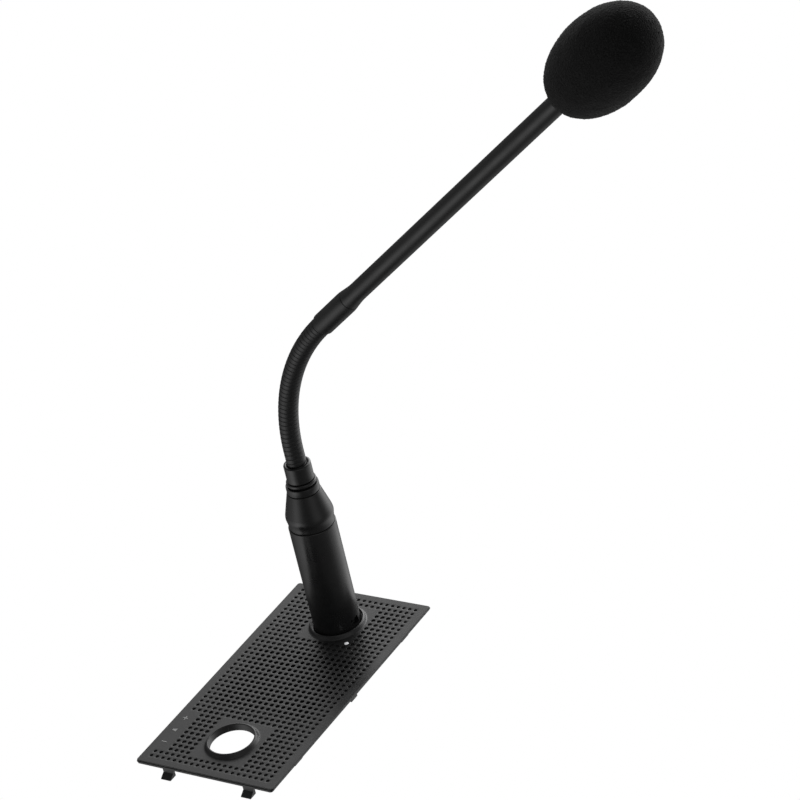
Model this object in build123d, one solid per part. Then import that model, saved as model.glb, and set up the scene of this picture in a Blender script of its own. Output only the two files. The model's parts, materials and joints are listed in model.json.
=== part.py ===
from build123d import *
import os
from math import cos, radians, sin, sqrt, tan

# Plug-in gooseneck microphone on a perforated snap-in cover panel.  Millimetres.
# Origin: centre of the panel's flat underside.  +X runs along the panel toward the
# microphone, -Y is the side the microphone leans to, +Z is up.

# ---- cover panel
PANEL_LENGTH = 118.8
PANEL_WIDTH = 63.2
PANEL_TOP = 1.4               # height of the upper face, so also the thickness
PANEL_CORNER_R = 1.0
LIP_HEIGHT = 0.5              # the lower part of each long edge is stepped inward
LIP_INSET = 0.35
SHELF_HEIGHT = 0.9            # the lower part of each short edge is stepped outward
SHELF_REACH = 0.3
EDGE_CHAMFER = 0.18
ROOT_Z = 0.2                  # rings, hooks, tabs and bosses are rooted in the plate up to here
OVERCUT = 1.0                 # how far every cut runs past the face it opens

# ---- hole pattern
PITCH = 2.7
COLUMNS = 42
ROWS = 21
HOLE_D = (1.45, 1.57, 1.68, 1.80)   # outermost row first, the last for all inner rows
DIMPLE_DEPTH = 0.5
THROUGH_HALF_X = 6.5                # pitches; inside this field the holes go through
THROUGH_HALF_Y = 8
CLEAR_HALF = 4                      # pitches; no holes this close to a ring centre
SYMBOL_ROWS_FROM = 9                # pitches; rows left out beside the printed symbols
SYMBOL_X_FROM = -18.5
SYMBOL_X_TO = -10.5

# ---- the two rings
RING_X = 14.5 * PITCH
MIC_X = RING_X
KNOB_X = -RING_X
RING_HEIGHT = 1.65
RING_FOOT = 0.1               # upright part of each ring's outside, below its slope
MIC_OPENING_R = 9.75
MIC_RING_LEDGE_R = 10.45
MIC_RING_LEDGE_Z = 0.55
MIC_RING_CREST_R = 10.9
MIC_RING_BASE_R = 12.05
CREST_EASE = 0.15
LEDGE_EASE = 0.2
KNOB_OPENING_R = 8.95
KNOB_RING_EASE = 0.5          # bevel between the opening's wall and the crest
KNOB_RING_CREST_R = 9.65
KNOB_RING_BASE_R = 11.05

# ---- snap hooks and locating tabs under the edge
HOOK_WIDTH = 4.6
HOOK_THICK = 1.3
HOOK_DEPTH = 3.9
HOOK_REACH = 2.2              # how far the foot's upper edge stands out from the stem
HOOK_NECK = 2.1               # depth at which the foot's upper side leaves the stem
HOOK_TIP = 0.4                # height of the foot's end
HOOK_TIP_LEAN = 0.25          # how much further the foot's lower edge stands out
HOOK_INSET = 0.4
HOOK_Y = (17.6, -19.5)
TAB_THICK = 0.9
TAB_INSET = 0.5
TAB_BEVEL = 0.35
CENTRE_TAB_X = 0.6
CENTRE_TAB_WIDTH = 4.0
CENTRE_TAB_DEPTH = 1.3
SIDE_TAB_X = (39.7, -40.1)
SIDE_TAB_WIDTH = 5.0
SIDE_TAB_DEPTH = 0.7

# ---- printed symbols and indicator
SYMBOL_Y = 10 * PITCH
SYMBOL_X = (-17.25 * PITCH, -14.5 * PITCH, -11.7 * PITCH)
SYMBOL_SPAN = 2.3
SYMBOL_STROKE = 0.45
SPEAKER_NECK = 0.4            # half width of the magnet, the narrow back of the loudspeaker
SPEAKER_BACK = 1.0
SPEAKER_THROAT = 0.35
SPEAKER_MOUTH = 1.0           # half width of the cone's open front
SPEAKER_FRONT = -0.9
INK_THICK = 0.06
LIGHT_X = 10.5 * PITCH
LIGHT_Y = -4 * PITCH
LIGHT_R = 0.85
LIGHT_HOLE_R = 0.9
LIGHT_GUIDE_R = 2.15
LIGHT_GUIDE_BOTTOM = -2.2
LIGHT_FOOT_R = 1.3            # the pipe is thicker below the guide, which keeps it in
LIGHT_FOOT_TOP = -2.5
LIGHT_FOOT_BOTTOM = -12.6
LIGHT_DOME_R = 0.55
LIGHT_DOME_LOW = -0.05        # heights of the rounded end from the panel's face
LIGHT_DOME_EDGE = 0.12
LIGHT_DOME_TOP = 0.16

# ---- cloth behind the through holes
CLOTH_MARGIN = 0.8            # pitches beyond the outermost through holes
CLOTH_CORNER_R = 2.0
CLOTH_THICK = 0.35

# ---- microphone socket under the first ring
SOCKET_BORE_R = 9.57
SOCKET_OUTER_R = 11.2
SOCKET_TOP = -0.1
SOCKET_FLOOR_TOP = -12.0
SOCKET_BOTTOM = -13.5
EAR_REACH = 14.5
EAR_WEB_START = 10.5
EAR_R = 2.6
EAR_TOP = -6.0
EAR_BOTTOM = -7.5
BOSS_R = 2.4
BOSS_HOLE_R = 0.85
SCREW_SHANK_R = 0.8
SCREW_SHANK_TOP = -1.4
SCREW_HEAD_R = 1.7
SCREW_HEAD_HIGH = 1.2
SCREW_RECESS = 0.5
SCREW_RECESS_WIDTH = 0.45
SCREW_RECESS_LENGTH = 2.6
SCREW_CLEARANCE = 0.2
FACE_INSERT_R = 7.85
FACE_INSERT_TOP = -0.6
FACE_CHAMFER = 0.4
FACE_SKIN = 1.2               # thickness of the face above the contacts
PIN_ENTRY = 0.15              # radial room round a pin in the face
CONTACT_CIRCLE_R = 4.6
CONTACT_ANGLES = (90, 210, 330)
CONTACT_OUTER_R = 1.55
CONTACT_INNER_R = 1.26
CONTACT_BOTTOM = SOCKET_FLOOR_TOP + 0.1
CONTACT_WELL = SOCKET_FLOOR_TOP + 1.4
CONTACT_TOP = FACE_INSERT_TOP - 1.4
TAIL_R = 0.5
TAIL_ROOT = 0.2               # how far the solder tail runs up into the sleeve's base
TAIL_REACH = 0.6              # and how far it stands out below the board
TAIL_CLEARANCE = 0.15
BOARD_TOP = -14.0
BOARD_THICK = 1.6
BOARD_BOTTOM = BOARD_TOP - BOARD_THICK
BOARD_LENGTH = 26.0
BOARD_WIDTH = 23.0
BOARD_SHIFT_X = -1.0
BOARD_Y = -1.5
BOARD_CORNER_R = 1.0
BOARD_HOLE_ROOM = 0.1
SEAT_GAP = 0.02               # hairline between the board and what is soldered on it
LED_LENGTH = 3.0
LED_WIDTH = 2.6
LED_HIGH = 1.1
LED_CORNER_R = 0.3
CONNECTOR_Y = 0.9
CONNECTOR_LENGTH = 9.0
CONNECTOR_WIDTH = 4.2
CONNECTOR_HIGH = 3.2
CONNECTOR_WALL = 0.5
CONNECTOR_BASE = 0.7
CONNECTOR_PIN = 0.5
CONNECTOR_PIN_HIGH = 2.9
CONNECTOR_PIN_X = (-2.5, 0.0, 2.5)

# ---- plug at the foot of the microphone
BARREL_R = 9.5
BARREL_BORE_R = 8.0
BARREL_BOTTOM = -10.6
BARREL_TOP = PANEL_TOP + 48.9
BARREL_FOOT_BEVEL = 0.4
BARREL_FOOT_RISE = 0.5
BARREL_TOP_BEVEL = 0.25
PIN_R = 1.2
PIN_BOTTOM = -9.2
PIN_NOSE_BEVEL = 0.5
PIN_NOSE = 0.9
PIN_TAIL = 3.0                # solder end above the insert
PLUG_INSERT_R = 7.9
PLUG_INSERT_BOTTOM = 1.2
PLUG_INSERT_TOP = 10.5
WINDOW_Z = PANEL_TOP + 3.4
WINDOW_WIDTH = 4.6
WINDOW_HEIGHT = 3.2
WINDOW_DEPTH = 5.0
WINDOW_CORNER_R = 0.6
WINDOW_TURN = -3.0            # degrees from straight toward -Y
LOCK_HOLE_R = 0.62
LOCK_HOLE_DEPTH = 1.7
LOCK_SHANK_R = 0.58
LOCK_SHANK = 1.5
LOCK_SHANK_IN = 0.65          # how far in from the insert's surface the shank's middle lies
LOCK_HEAD_R = 0.85
LOCK_HEAD = 0.6
LOCK_SLOT = 0.3
LOCK_SLOT_DEPTH = 0.55
CABLE_R = 0.9
CABLE_START_GAP = 0.1

# ---- slotted collet that grips the cable inside the barrel
CHUCK_BOTTOM = 22.0
CHUCK_FOOT_R = 6.2
CHUCK_FLARE_TOP = 24.0
CHUCK_R = 7.85
CHUCK_SHOULDER = 33.0
CHUCK_TOP_R = 6.8
CHUCK_TOP = 35.0
CHUCK_GRIP = 0.05             # radial gap round the cable
CHUCK_SLOT_TOP = 31.0
CHUCK_SLOT_LENGTH = 7.0
CHUCK_SLOT_WIDTH = 0.8
CHUCK_SLOT_X = 5.6

# ---- stack of turned rings above the barrel
CONE_BOTTOM = PANEL_TOP + 49.15
CONE_NECK_R = 9.18
CONE_FLARE_R = 9.6
CONE_FLARE_LOW = PANEL_TOP + 52.5
CONE_FLARE_HIGH = PANEL_TOP + 54.6
CONE_TOP = PANEL_TOP + 64.35
CONE_TOP_R = 6.72
CONE_FLARE_FOOT = 0.5         # the flare starts this far below its low line
CONE_FLARE_LEAN = 0.12        # and has drawn in this much at its high line
CONE_FLARE_SAG = 0.2          # its widest ring lies this far below its middle
SPIGOT_R = 7.93
SPIGOT_LENGTH = 8.5
CLAMP_RING_BOTTOM = PANEL_TOP + 64.5
CLAMP_RING_TOP = PANEL_TOP + 67.5
CLAMP_RING_R = 6.6
CLAMP_RING_EDGE = 0.3
BEAD_BOTTOM = PANEL_TOP + 67.95
BEAD_TOP = PANEL_TOP + 69.45
BEAD_R = 6.05
BEAD_EDGE = 0.6
COLLAR_BOTTOM = PANEL_TOP + 69.85
COLLAR_TOP = PANEL_TOP + 76.9
COLLAR_R = 5.4
COLLAR_FOOT = 0.1             # the collar widens this much over its lowest part
COLLAR_FOOT_HIGH = 1.2
COLLAR_RIM_HIGH = 0.7         # rounded rim: its height, its width and a point between
COLLAR_RIM_WIDE = 0.6
COLLAR_RIM_MID_IN = 0.2
COLLAR_RIM_MID_DOWN = 0.18
COLLAR_MOUTH_R = 4.35
COLLAR_MOUTH_DIP = 0.2
COLLAR_LIP = 1.2
BUSHING_R = 4.7
BUSHING_BORE_R = 4.02
BUSHING_BOTTOM = PANEL_TOP + 50.0
BUSHING_TOP = PANEL_TOP + 75.0
FIT = 0.03                    # radial gap left between pressed or screwed pieces

# ---- gooseneck: an arc of equal links, each turning about the ball of the one below
HOSE_R = 3.92
HOSE_VALLEY_R = 3.66
BEND_START = PANEL_TOP + 81.8
BEND_R = 79.4
BEND_ANGLE = 49.75
HINGES = 10
HINGE_STEP = BEND_ANGLE / HINGES
HALF_LINK = BEND_R * tan(radians(HINGE_STEP / 2))
LINK = 2 * HALF_LINK
BALL_R = 3.3
CUP_R = 3.38
CUP_SKIRT = 1.4
SHOULDER = 2.6                # from the ball centre down to the ribbed body
LINK_NECK_R = 2.4
LINK_BORE_R = 1.9
RIBS_PER_LINK = 4
CABLE_GAP = 0.4
ROOT_BOTTOM = BUSHING_BOTTOM + 18.0
ROOT_RIBS_FROM = COLLAR_TOP - 0.8
TIP_SPIGOT = 8.0

# ---- head: distances along the straight axis from the upper end of the bend
SLEEVE_START = 0.7
SLEEVE_SHOULDER = 18.3
SLEEVE_END = 20.25
SLEEVE_R = 4.4
SLEEVE_MOUTH_BEVEL = 0.35
SLEEVE_MOUTH_RISE = 0.5
SLEEVE_GAP = 0.05             # hairline seam at each end of the sleeve
TAPER_END = 25.0
TUBE_START = 10.0
TUBE_R = 3.67
TUBE_BORE_R = 2.9
TUBE_END = 166.0
SPIGOT_BORE_R = 3.5
HOLDER_TAIL = 6.0             # length of the holder inside the tube
HOLDER_BEVEL = 0.6
HOLDER_BEVEL_RISE = 0.8
HOLDER_BORE_R = 1.2
HOLDER_END = 174.0
HOLDER_R = 4.9
AMPLIFIER_R = 3.9
AMPLIFIER_BORE_R = 1.0
AMPLIFIER_START = HOLDER_END + 0.6
AMPLIFIER_END = HOLDER_END + 1.6
BOOT_START = HOLDER_END + 2.2
BOOT_END = BOOT_START + 8.2
BOOT_FLOOR = 1.2
BOOT_BORE_R = 1.0
CAP_R = 5.4
CAP_BOOT_ROOM = 0.55
CAP_START = HOLDER_END - 5.0
CAP_END = 191.0
CAP_EDGE = 0.8
CAP_WALL = 0.4
CAP_CORNER = 1.0              # size of the inner bevel behind the cap's rounded edge
CAPSULE_R = 4.0
CAPSULE_START = HOLDER_END + 3.5
CAPSULE_LENGTH = 6.8
SOUND_HOLE_R = 0.45
SOUND_HOLE_DEPTH = 0.8
CAPSULE_HOLE_CIRCLE_R = 1.9
CAP_HOLE_CIRCLES = ((1.5, 6), (3.0, 12))
HEAD_CABLE_END = HOLDER_END + 0.4
FOAM_REAR = 158.8             # where the egg would close if it had no mouth
FOAM_CENTRE = 185.1
FOAM_FRONT = 209.6
FOAM_R = 15.95
FOAM_MOUTH_TURN = 163         # degrees round the egg from the front tip to the mouth
FOAM_STEPS = 14
FOAM_BLUNT = 0.93             # exponent below 1 makes the ends blunter than an ellipse
FOAM_CAVITY_R = 5.7
FOAM_CAVITY_START = TUBE_END - 1.0
FOAM_CAVITY_END = 192.2
FOAM_GRIP_END = TUBE_END - 3.0
FOAM_GRIP_ROOM = 0.08
FOAM_REAR_SLOPE = 0.1


def save(shape, name):
    shape.label = name
    export_step(shape, f"parts/{name}.step")


def turned(points):
    """Solid of revolution about Z from (radius, height) corner points."""
    outline = Polyline(*[(r, 0, z) for r, z in points], close=True)
    return revolve(make_face(outline), axis=Axis.Z, revolution_arc=360)


def turned_edges(edges):
    """Solid of revolution about Z from a closed run of edges drawn in the XZ plane."""
    return revolve(make_face(edges), axis=Axis.Z, revolution_arc=360)


def tube(outer, inner, low, high):
    return turned([(inner, low), (outer, low), (outer, high), (inner, high)])


def rod(radius, low, high, x=0.0, y=0.0):
    return Pos(x, y, (low + high) / 2) * Cylinder(radius, high - low)


def block(width, depth, low, high, x=0.0, y=0.0):
    return Pos(x, y, (low + high) / 2) * Box(width, depth, high - low)


def at_mic(shape):
    return Pos(MIC_X, 0, 0) * shape


# ---------------------------------------------------------------- panel

def hole_diameter(column, row):
    steps_in = min(column, COLUMNS - 1 - column, row, ROWS - 1 - row)
    return HOLE_D[min(steps_in, len(HOLE_D) - 1)]


def hole_wanted(i, j):
    """i and j are the hole's position in pitches from the panel centre."""
    beside_ring = abs(abs(i) - RING_X / PITCH) <= CLEAR_HALF and abs(j) <= CLEAR_HALF
    at_symbols = j >= SYMBOL_ROWS_FROM and SYMBOL_X_FROM <= i <= SYMBOL_X_TO
    return not beside_ring and not at_symbols


def panel_holes():
    holes = []
    for column in range(COLUMNS):
        for row in range(ROWS):
            i = column - (COLUMNS - 1) / 2
            j = row - (ROWS - 1) / 2
            if not hole_wanted(i, j):
                continue
            through = abs(i) <= THROUGH_HALF_X and abs(j) <= THROUGH_HALF_Y
            bottom = -OVERCUT if through else PANEL_TOP - DIMPLE_DEPTH
            radius = hole_diameter(column, row) / 2
            holes.append(rod(radius, bottom, PANEL_TOP + OVERCUT, i * PITCH, j * PITCH))
    return holes


def panel_plate():
    face = extrude(
        RectangleRounded(PANEL_LENGTH, PANEL_WIDTH, PANEL_CORNER_R), PANEL_TOP - SHELF_HEIGHT
    )
    face = chamfer(face.edges().group_by(Axis.Z)[-1], EDGE_CHAMFER)
    foot_length = PANEL_LENGTH + 2 * SHELF_REACH
    shelf = extrude(
        RectangleRounded(foot_length, PANEL_WIDTH, PANEL_CORNER_R), SHELF_HEIGHT - LIP_HEIGHT
    )
    foot = extrude(
        RectangleRounded(foot_length, PANEL_WIDTH - 2 * LIP_INSET, PANEL_CORNER_R), LIP_HEIGHT
    )
    return Pos(0, 0, SHELF_HEIGHT) * face + Pos(0, 0, LIP_HEIGHT) * shelf + foot


def mic_ring():
    top = PANEL_TOP + RING_HEIGHT
    ledge = PANEL_TOP + MIC_RING_LEDGE_Z
    return turned([
        (MIC_OPENING_R, ROOT_Z),
        (MIC_RING_BASE_R, ROOT_Z),
        (MIC_RING_BASE_R, PANEL_TOP + RING_FOOT),
        (MIC_RING_CREST_R, top),
        (MIC_RING_LEDGE_R + CREST_EASE, top),
        (MIC_RING_LEDGE_R, top - CREST_EASE),
        (MIC_RING_LEDGE_R, ledge),
        (MIC_OPENING_R + LEDGE_EASE, ledge),
        (MIC_OPENING_R, ledge - LEDGE_EASE),
    ])


def knob_ring():
    top = PANEL_TOP + RING_HEIGHT
    return turned([
        (KNOB_OPENING_R, ROOT_Z),
        (KNOB_RING_BASE_R, ROOT_Z),
        (KNOB_RING_BASE_R, PANEL_TOP + RING_FOOT),
        (KNOB_RING_CREST_R, top),
        (KNOB_OPENING_R + KNOB_RING_EASE, top),
        (KNOB_OPENING_R, top - KNOB_RING_EASE),
    ])


def snap_hook(centre_y):
    """L-shaped hook hanging from the -X edge, its wedge-shaped foot reaching outward."""
    stem = -(PANEL_LENGTH / 2 - HOOK_INSET)
    outline = Polyline(
        (stem, 0, ROOT_Z),
        (stem + HOOK_THICK, 0, ROOT_Z),
        (stem + HOOK_THICK, 0, -HOOK_DEPTH),
        (stem - HOOK_REACH - HOOK_TIP_LEAN, 0, -HOOK_DEPTH),
        (stem - HOOK_REACH, 0, -HOOK_DEPTH + HOOK_TIP),
        (stem, 0, -HOOK_NECK),
        close=True,
    )
    hook = extrude(make_face(outline), HOOK_WIDTH / 2, both=True)
    return Pos(0, centre_y, 0) * hook


def edge_tab(centre_x, width, depth):
    """Locating tab hanging from the -Y edge, with a bevelled outer corner."""
    outer = -(PANEL_WIDTH / 2 - TAB_INSET)
    outline = Polyline(
        (0, outer, ROOT_Z),
        (0, outer + TAB_THICK, ROOT_Z),
        (0, outer + TAB_THICK, -depth),
        (0, outer + TAB_BEVEL, -depth),
        (0, outer, -depth + TAB_BEVEL),
        close=True,
    )
    tab = extrude(make_face(outline), width / 2, both=True)
    return Pos(centre_x, 0, 0) * tab


def panel_fixings():
    side = [snap_hook(y) for y in HOOK_Y]
    front = [edge_tab(CENTRE_TAB_X, CENTRE_TAB_WIDTH, CENTRE_TAB_DEPTH)]
    front += [edge_tab(x, SIDE_TAB_WIDTH, SIDE_TAB_DEPTH) for x in SIDE_TAB_X]
    fixings = side + front
    fixings += [mirror(shape, Plane.YZ) for shape in side]
    fixings += [mirror(shape, Plane.XZ) for shape in front]
    return fixings


def cover_panel():
    bosses = [rod(BOSS_R, EAR_TOP, ROOT_Z, MIC_X + side * EAR_REACH) for side in (-1, 1)]
    guide = rod(LIGHT_GUIDE_R, LIGHT_GUIDE_BOTTOM, ROOT_Z, LIGHT_X, LIGHT_Y)
    panel = panel_plate() + at_mic(mic_ring()) + Pos(KNOB_X, 0, 0) * knob_ring()
    panel = panel + panel_fixings() + bosses + guide
    above = PANEL_TOP + RING_HEIGHT + OVERCUT
    cuts = [
        rod(MIC_OPENING_R, -OVERCUT, above, MIC_X),
        rod(KNOB_OPENING_R, -OVERCUT, above, KNOB_X),
        rod(LIGHT_HOLE_R, LIGHT_GUIDE_BOTTOM - OVERCUT, above, LIGHT_X, LIGHT_Y),
    ]
    cuts += [rod(BOSS_HOLE_R, EAR_TOP - OVERCUT, 0.0, MIC_X + side * EAR_REACH)
             for side in (-1, 1)]
    return panel - cuts - panel_holes()


def acoustic_cloth():
    width = 2 * (THROUGH_HALF_X + CLOTH_MARGIN) * PITCH
    depth = 2 * (THROUGH_HALF_Y + CLOTH_MARGIN) * PITCH
    sheet = extrude(RectangleRounded(width, depth, CLOTH_CORNER_R), CLOTH_THICK)
    return Pos(0, 0, -CLOTH_THICK) * sheet


def ink(sketch, x):
    return Pos(x, SYMBOL_Y, PANEL_TOP) * extrude(sketch, INK_THICK)


def minus_symbol():
    return ink(Rectangle(SYMBOL_STROKE, SYMBOL_SPAN), SYMBOL_X[0])


def loudspeaker_symbol():
    """Cone opening toward -Y, the way the symbols are read from the -X end."""
    glyph = Polygon(
        (-SPEAKER_NECK, SPEAKER_BACK),
        (-SPEAKER_NECK, SPEAKER_THROAT),
        (-SPEAKER_MOUTH, SPEAKER_FRONT),
        (SPEAKER_MOUTH, SPEAKER_FRONT),
        (SPEAKER_NECK, SPEAKER_THROAT),
        (SPEAKER_NECK, SPEAKER_BACK),
        align=None,
    )
    return ink(glyph, SYMBOL_X[1])


def plus_symbol():
    bars = Rectangle(SYMBOL_STROKE, SYMBOL_SPAN) + Rectangle(SYMBOL_SPAN, SYMBOL_STROKE)
    return ink(bars, SYMBOL_X[2])


def light_pipe():
    shape = turned([
        (0, LIGHT_FOOT_BOTTOM),
        (LIGHT_FOOT_R, LIGHT_FOOT_BOTTOM),
        (LIGHT_FOOT_R, LIGHT_FOOT_TOP),
        (LIGHT_R, LIGHT_FOOT_TOP),
        (LIGHT_R, PANEL_TOP + LIGHT_DOME_LOW),
        (LIGHT_DOME_R, PANEL_TOP + LIGHT_DOME_EDGE),
        (0, PANEL_TOP + LIGHT_DOME_TOP),
    ])
    return Pos(LIGHT_X, LIGHT_Y, 0) * shape


# ---------------------------------------------------------------- socket

def contact_spots():
    return [
        (CONTACT_CIRCLE_R * cos(radians(a)), CONTACT_CIRCLE_R * sin(radians(a)))
        for a in CONTACT_ANGLES
    ]


def socket_housing():
    shell = tube(SOCKET_OUTER_R, SOCKET_BORE_R, SOCKET_FLOOR_TOP, SOCKET_TOP)
    floor = rod(SOCKET_OUTER_R, SOCKET_BOTTOM, SOCKET_FLOOR_TOP)
    body = shell + floor
    for side in (-1, 1):
        ear = rod(EAR_R, EAR_BOTTOM, EAR_TOP - FIT, side * EAR_REACH)
        web = block(EAR_REACH - EAR_WEB_START, 2 * EAR_R, EAR_BOTTOM, EAR_TOP - FIT,
                    side * (EAR_REACH + EAR_WEB_START) / 2)
        body = body + ear + web
    cuts = [rod(SCREW_SHANK_R + SCREW_CLEARANCE, EAR_BOTTOM - OVERCUT, EAR_TOP + OVERCUT,
                side * EAR_REACH) for side in (-1, 1)]
    cuts += [rod(TAIL_R + TAIL_CLEARANCE, SOCKET_BOTTOM - OVERCUT, SOCKET_FLOOR_TOP + OVERCUT,
                 x, y) for x, y in contact_spots()]
    return at_mic(body - cuts)


def socket_face():
    """Insulating face block that the plug's barrel slides around."""
    body = rod(FACE_INSERT_R, SOCKET_FLOOR_TOP + FIT, FACE_INSERT_TOP)
    body = chamfer(body.edges().group_by(Axis.Z)[-1], FACE_CHAMFER)
    below = SOCKET_FLOOR_TOP - OVERCUT
    cuts = [rod(CONTACT_OUTER_R + FIT, below, FACE_INSERT_TOP - FACE_SKIN, x, y)
            for x, y in contact_spots()]
    cuts += [rod(CONTACT_INNER_R + PIN_ENTRY, below, FACE_INSERT_TOP + OVERCUT, x, y)
             for x, y in contact_spots()]
    return at_mic(body - cuts)


def socket_contacts():
    """Three sprung sleeves with solder tails that reach the board."""
    sleeve = turned([
        (0, CONTACT_BOTTOM),
        (CONTACT_OUTER_R, CONTACT_BOTTOM),
        (CONTACT_OUTER_R, CONTACT_TOP),
        (CONTACT_INNER_R, CONTACT_TOP),
        (CONTACT_INNER_R, CONTACT_WELL),
        (0, CONTACT_WELL),
    ])
    contact = sleeve + rod(TAIL_R, BOARD_BOTTOM - TAIL_REACH, CONTACT_BOTTOM + TAIL_ROOT)
    return Compound(children=[at_mic(Pos(x, y, 0) * contact) for x, y in contact_spots()])


def socket_screws():
    bottom = EAR_BOTTOM - SCREW_HEAD_HIGH
    screw = rod(SCREW_SHANK_R, bottom + SCREW_RECESS, SCREW_SHANK_TOP)
    screw = screw + rod(SCREW_HEAD_R, bottom, EAR_BOTTOM - FIT)
    for width, depth in ((SCREW_RECESS_WIDTH, SCREW_RECESS_LENGTH),
                         (SCREW_RECESS_LENGTH, SCREW_RECESS_WIDTH)):
        screw = screw - block(width, depth, bottom - OVERCUT, bottom + SCREW_RECESS)
    return Compound(children=[at_mic(Pos(side * EAR_REACH, 0, 0) * screw) for side in (-1, 1)])


def socket_board():
    board = block(BOARD_LENGTH, BOARD_WIDTH, BOARD_BOTTOM, BOARD_TOP,
                  MIC_X + BOARD_SHIFT_X, BOARD_Y)
    board = fillet(board.edges().filter_by(Axis.Z), BOARD_CORNER_R)
    return board - [rod(TAIL_R + BOARD_HOLE_ROOM, BOARD_BOTTOM - OVERCUT, BOARD_TOP + OVERCUT,
                        MIC_X + x, y) for x, y in contact_spots()]


def indicator_led():
    body = block(LED_LENGTH, LED_WIDTH, BOARD_TOP + SEAT_GAP, BOARD_TOP + LED_HIGH,
                 LIGHT_X, LIGHT_Y)
    return fillet(body.edges().filter_by(Axis.Z), LED_CORNER_R)


def board_connector():
    """Open-topped header on the underside of the board for the wiring to the desk unit."""
    shell = block(CONNECTOR_LENGTH, CONNECTOR_WIDTH, BOARD_BOTTOM - CONNECTOR_HIGH,
                  BOARD_BOTTOM - SEAT_GAP, MIC_X, CONNECTOR_Y)
    hollow = block(CONNECTOR_LENGTH - 2 * CONNECTOR_WALL, CONNECTOR_WIDTH - 2 * CONNECTOR_WALL,
                   BOARD_BOTTOM - CONNECTOR_HIGH - OVERCUT, BOARD_BOTTOM - CONNECTOR_BASE,
                   MIC_X, CONNECTOR_Y)
    return shell - hollow


def connector_pins():
    return Compound(children=[
        block(CONNECTOR_PIN, CONNECTOR_PIN, BOARD_BOTTOM - CONNECTOR_PIN_HIGH,
              BOARD_BOTTOM - CONNECTOR_BASE - SEAT_GAP, MIC_X + x, CONNECTOR_Y)
        for x in CONNECTOR_PIN_X
    ])


# ---------------------------------------------------------------- plug

def plug_barrel():
    body = turned([
        (BARREL_BORE_R, BARREL_BOTTOM + BARREL_FOOT_RISE),
        (BARREL_BORE_R + BARREL_FOOT_BEVEL, BARREL_BOTTOM),
        (BARREL_R - BARREL_FOOT_BEVEL, BARREL_BOTTOM),
        (BARREL_R, BARREL_BOTTOM + BARREL_FOOT_RISE),
        (BARREL_R, BARREL_TOP - BARREL_TOP_BEVEL),
        (BARREL_R - BARREL_TOP_BEVEL, BARREL_TOP),
        (BARREL_BORE_R, BARREL_TOP),
    ])
    window = Pos(0, -BARREL_R, WINDOW_Z) * Box(WINDOW_WIDTH, WINDOW_DEPTH, WINDOW_HEIGHT)
    window = fillet(window.edges().filter_by(Axis.Y), WINDOW_CORNER_R)
    return at_mic(body - Rot(0, 0, WINDOW_TURN) * window)


def plug_insert():
    """Insulating block that carries the three pins."""
    body = rod(PLUG_INSERT_R, PLUG_INSERT_BOTTOM, PLUG_INSERT_TOP)
    cuts = [rod(PIN_R + FIT, PLUG_INSERT_BOTTOM - OVERCUT, PLUG_INSERT_TOP + OVERCUT, x, y)
            for x, y in contact_spots()]
    drill = Rot(90, 0, 0) * Cylinder(LOCK_HOLE_R, 2 * LOCK_HOLE_DEPTH)
    pocket = Pos(0, -PLUG_INSERT_R, WINDOW_Z) * drill
    return at_mic(body - cuts - Rot(0, 0, WINDOW_TURN) * pocket)


def plug_pins():
    pin = turned([
        (0, PIN_BOTTOM),
        (PIN_R - PIN_NOSE_BEVEL, PIN_BOTTOM),
        (PIN_R, PIN_BOTTOM + PIN_NOSE),
        (PIN_R, PLUG_INSERT_TOP + PIN_TAIL),
        (0, PLUG_INSERT_TOP + PIN_TAIL),
    ])
    return Compound(children=[at_mic(Pos(x, y, 0) * pin) for x, y in contact_spots()])


def insert_screw():
    """Grub screw seen through the barrel's window; it locks the insert."""
    shank = Rot(90, 0, 0) * Cylinder(LOCK_SHANK_R, LOCK_SHANK)
    head = Rot(90, 0, 0) * Cylinder(LOCK_HEAD_R, LOCK_HEAD)
    head = Pos(0, -(LOCK_SHANK + LOCK_HEAD) / 2, 0) * head
    slot = Box(2 * LOCK_HEAD_R + OVERCUT, LOCK_SLOT_DEPTH, LOCK_SLOT)
    slot = Pos(0, -(LOCK_SHANK / 2 + LOCK_HEAD), 0) * slot
    screw = Pos(0, -PLUG_INSERT_R + LOCK_SHANK_IN, WINDOW_Z) * (shank + head - slot)
    return at_mic(Rot(0, 0, WINDOW_TURN) * screw)


def cable_chuck():
    """Collet with four slots that grips the cable."""
    bore = CABLE_R + CHUCK_GRIP
    body = turned([
        (bore, CHUCK_BOTTOM),
        (CHUCK_FOOT_R, CHUCK_BOTTOM),
        (CHUCK_R, CHUCK_FLARE_TOP),
        (CHUCK_R, CHUCK_SHOULDER),
        (CHUCK_TOP_R, CHUCK_TOP),
        (bore, CHUCK_TOP),
    ])
    slot = block(CHUCK_SLOT_LENGTH, CHUCK_SLOT_WIDTH, CHUCK_BOTTOM - OVERCUT, CHUCK_SLOT_TOP,
                 CHUCK_SLOT_X)
    slots = [Rot(0, 0, angle) * slot for angle in (0, 90, 180, 270)]
    return at_mic(body - slots)


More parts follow.
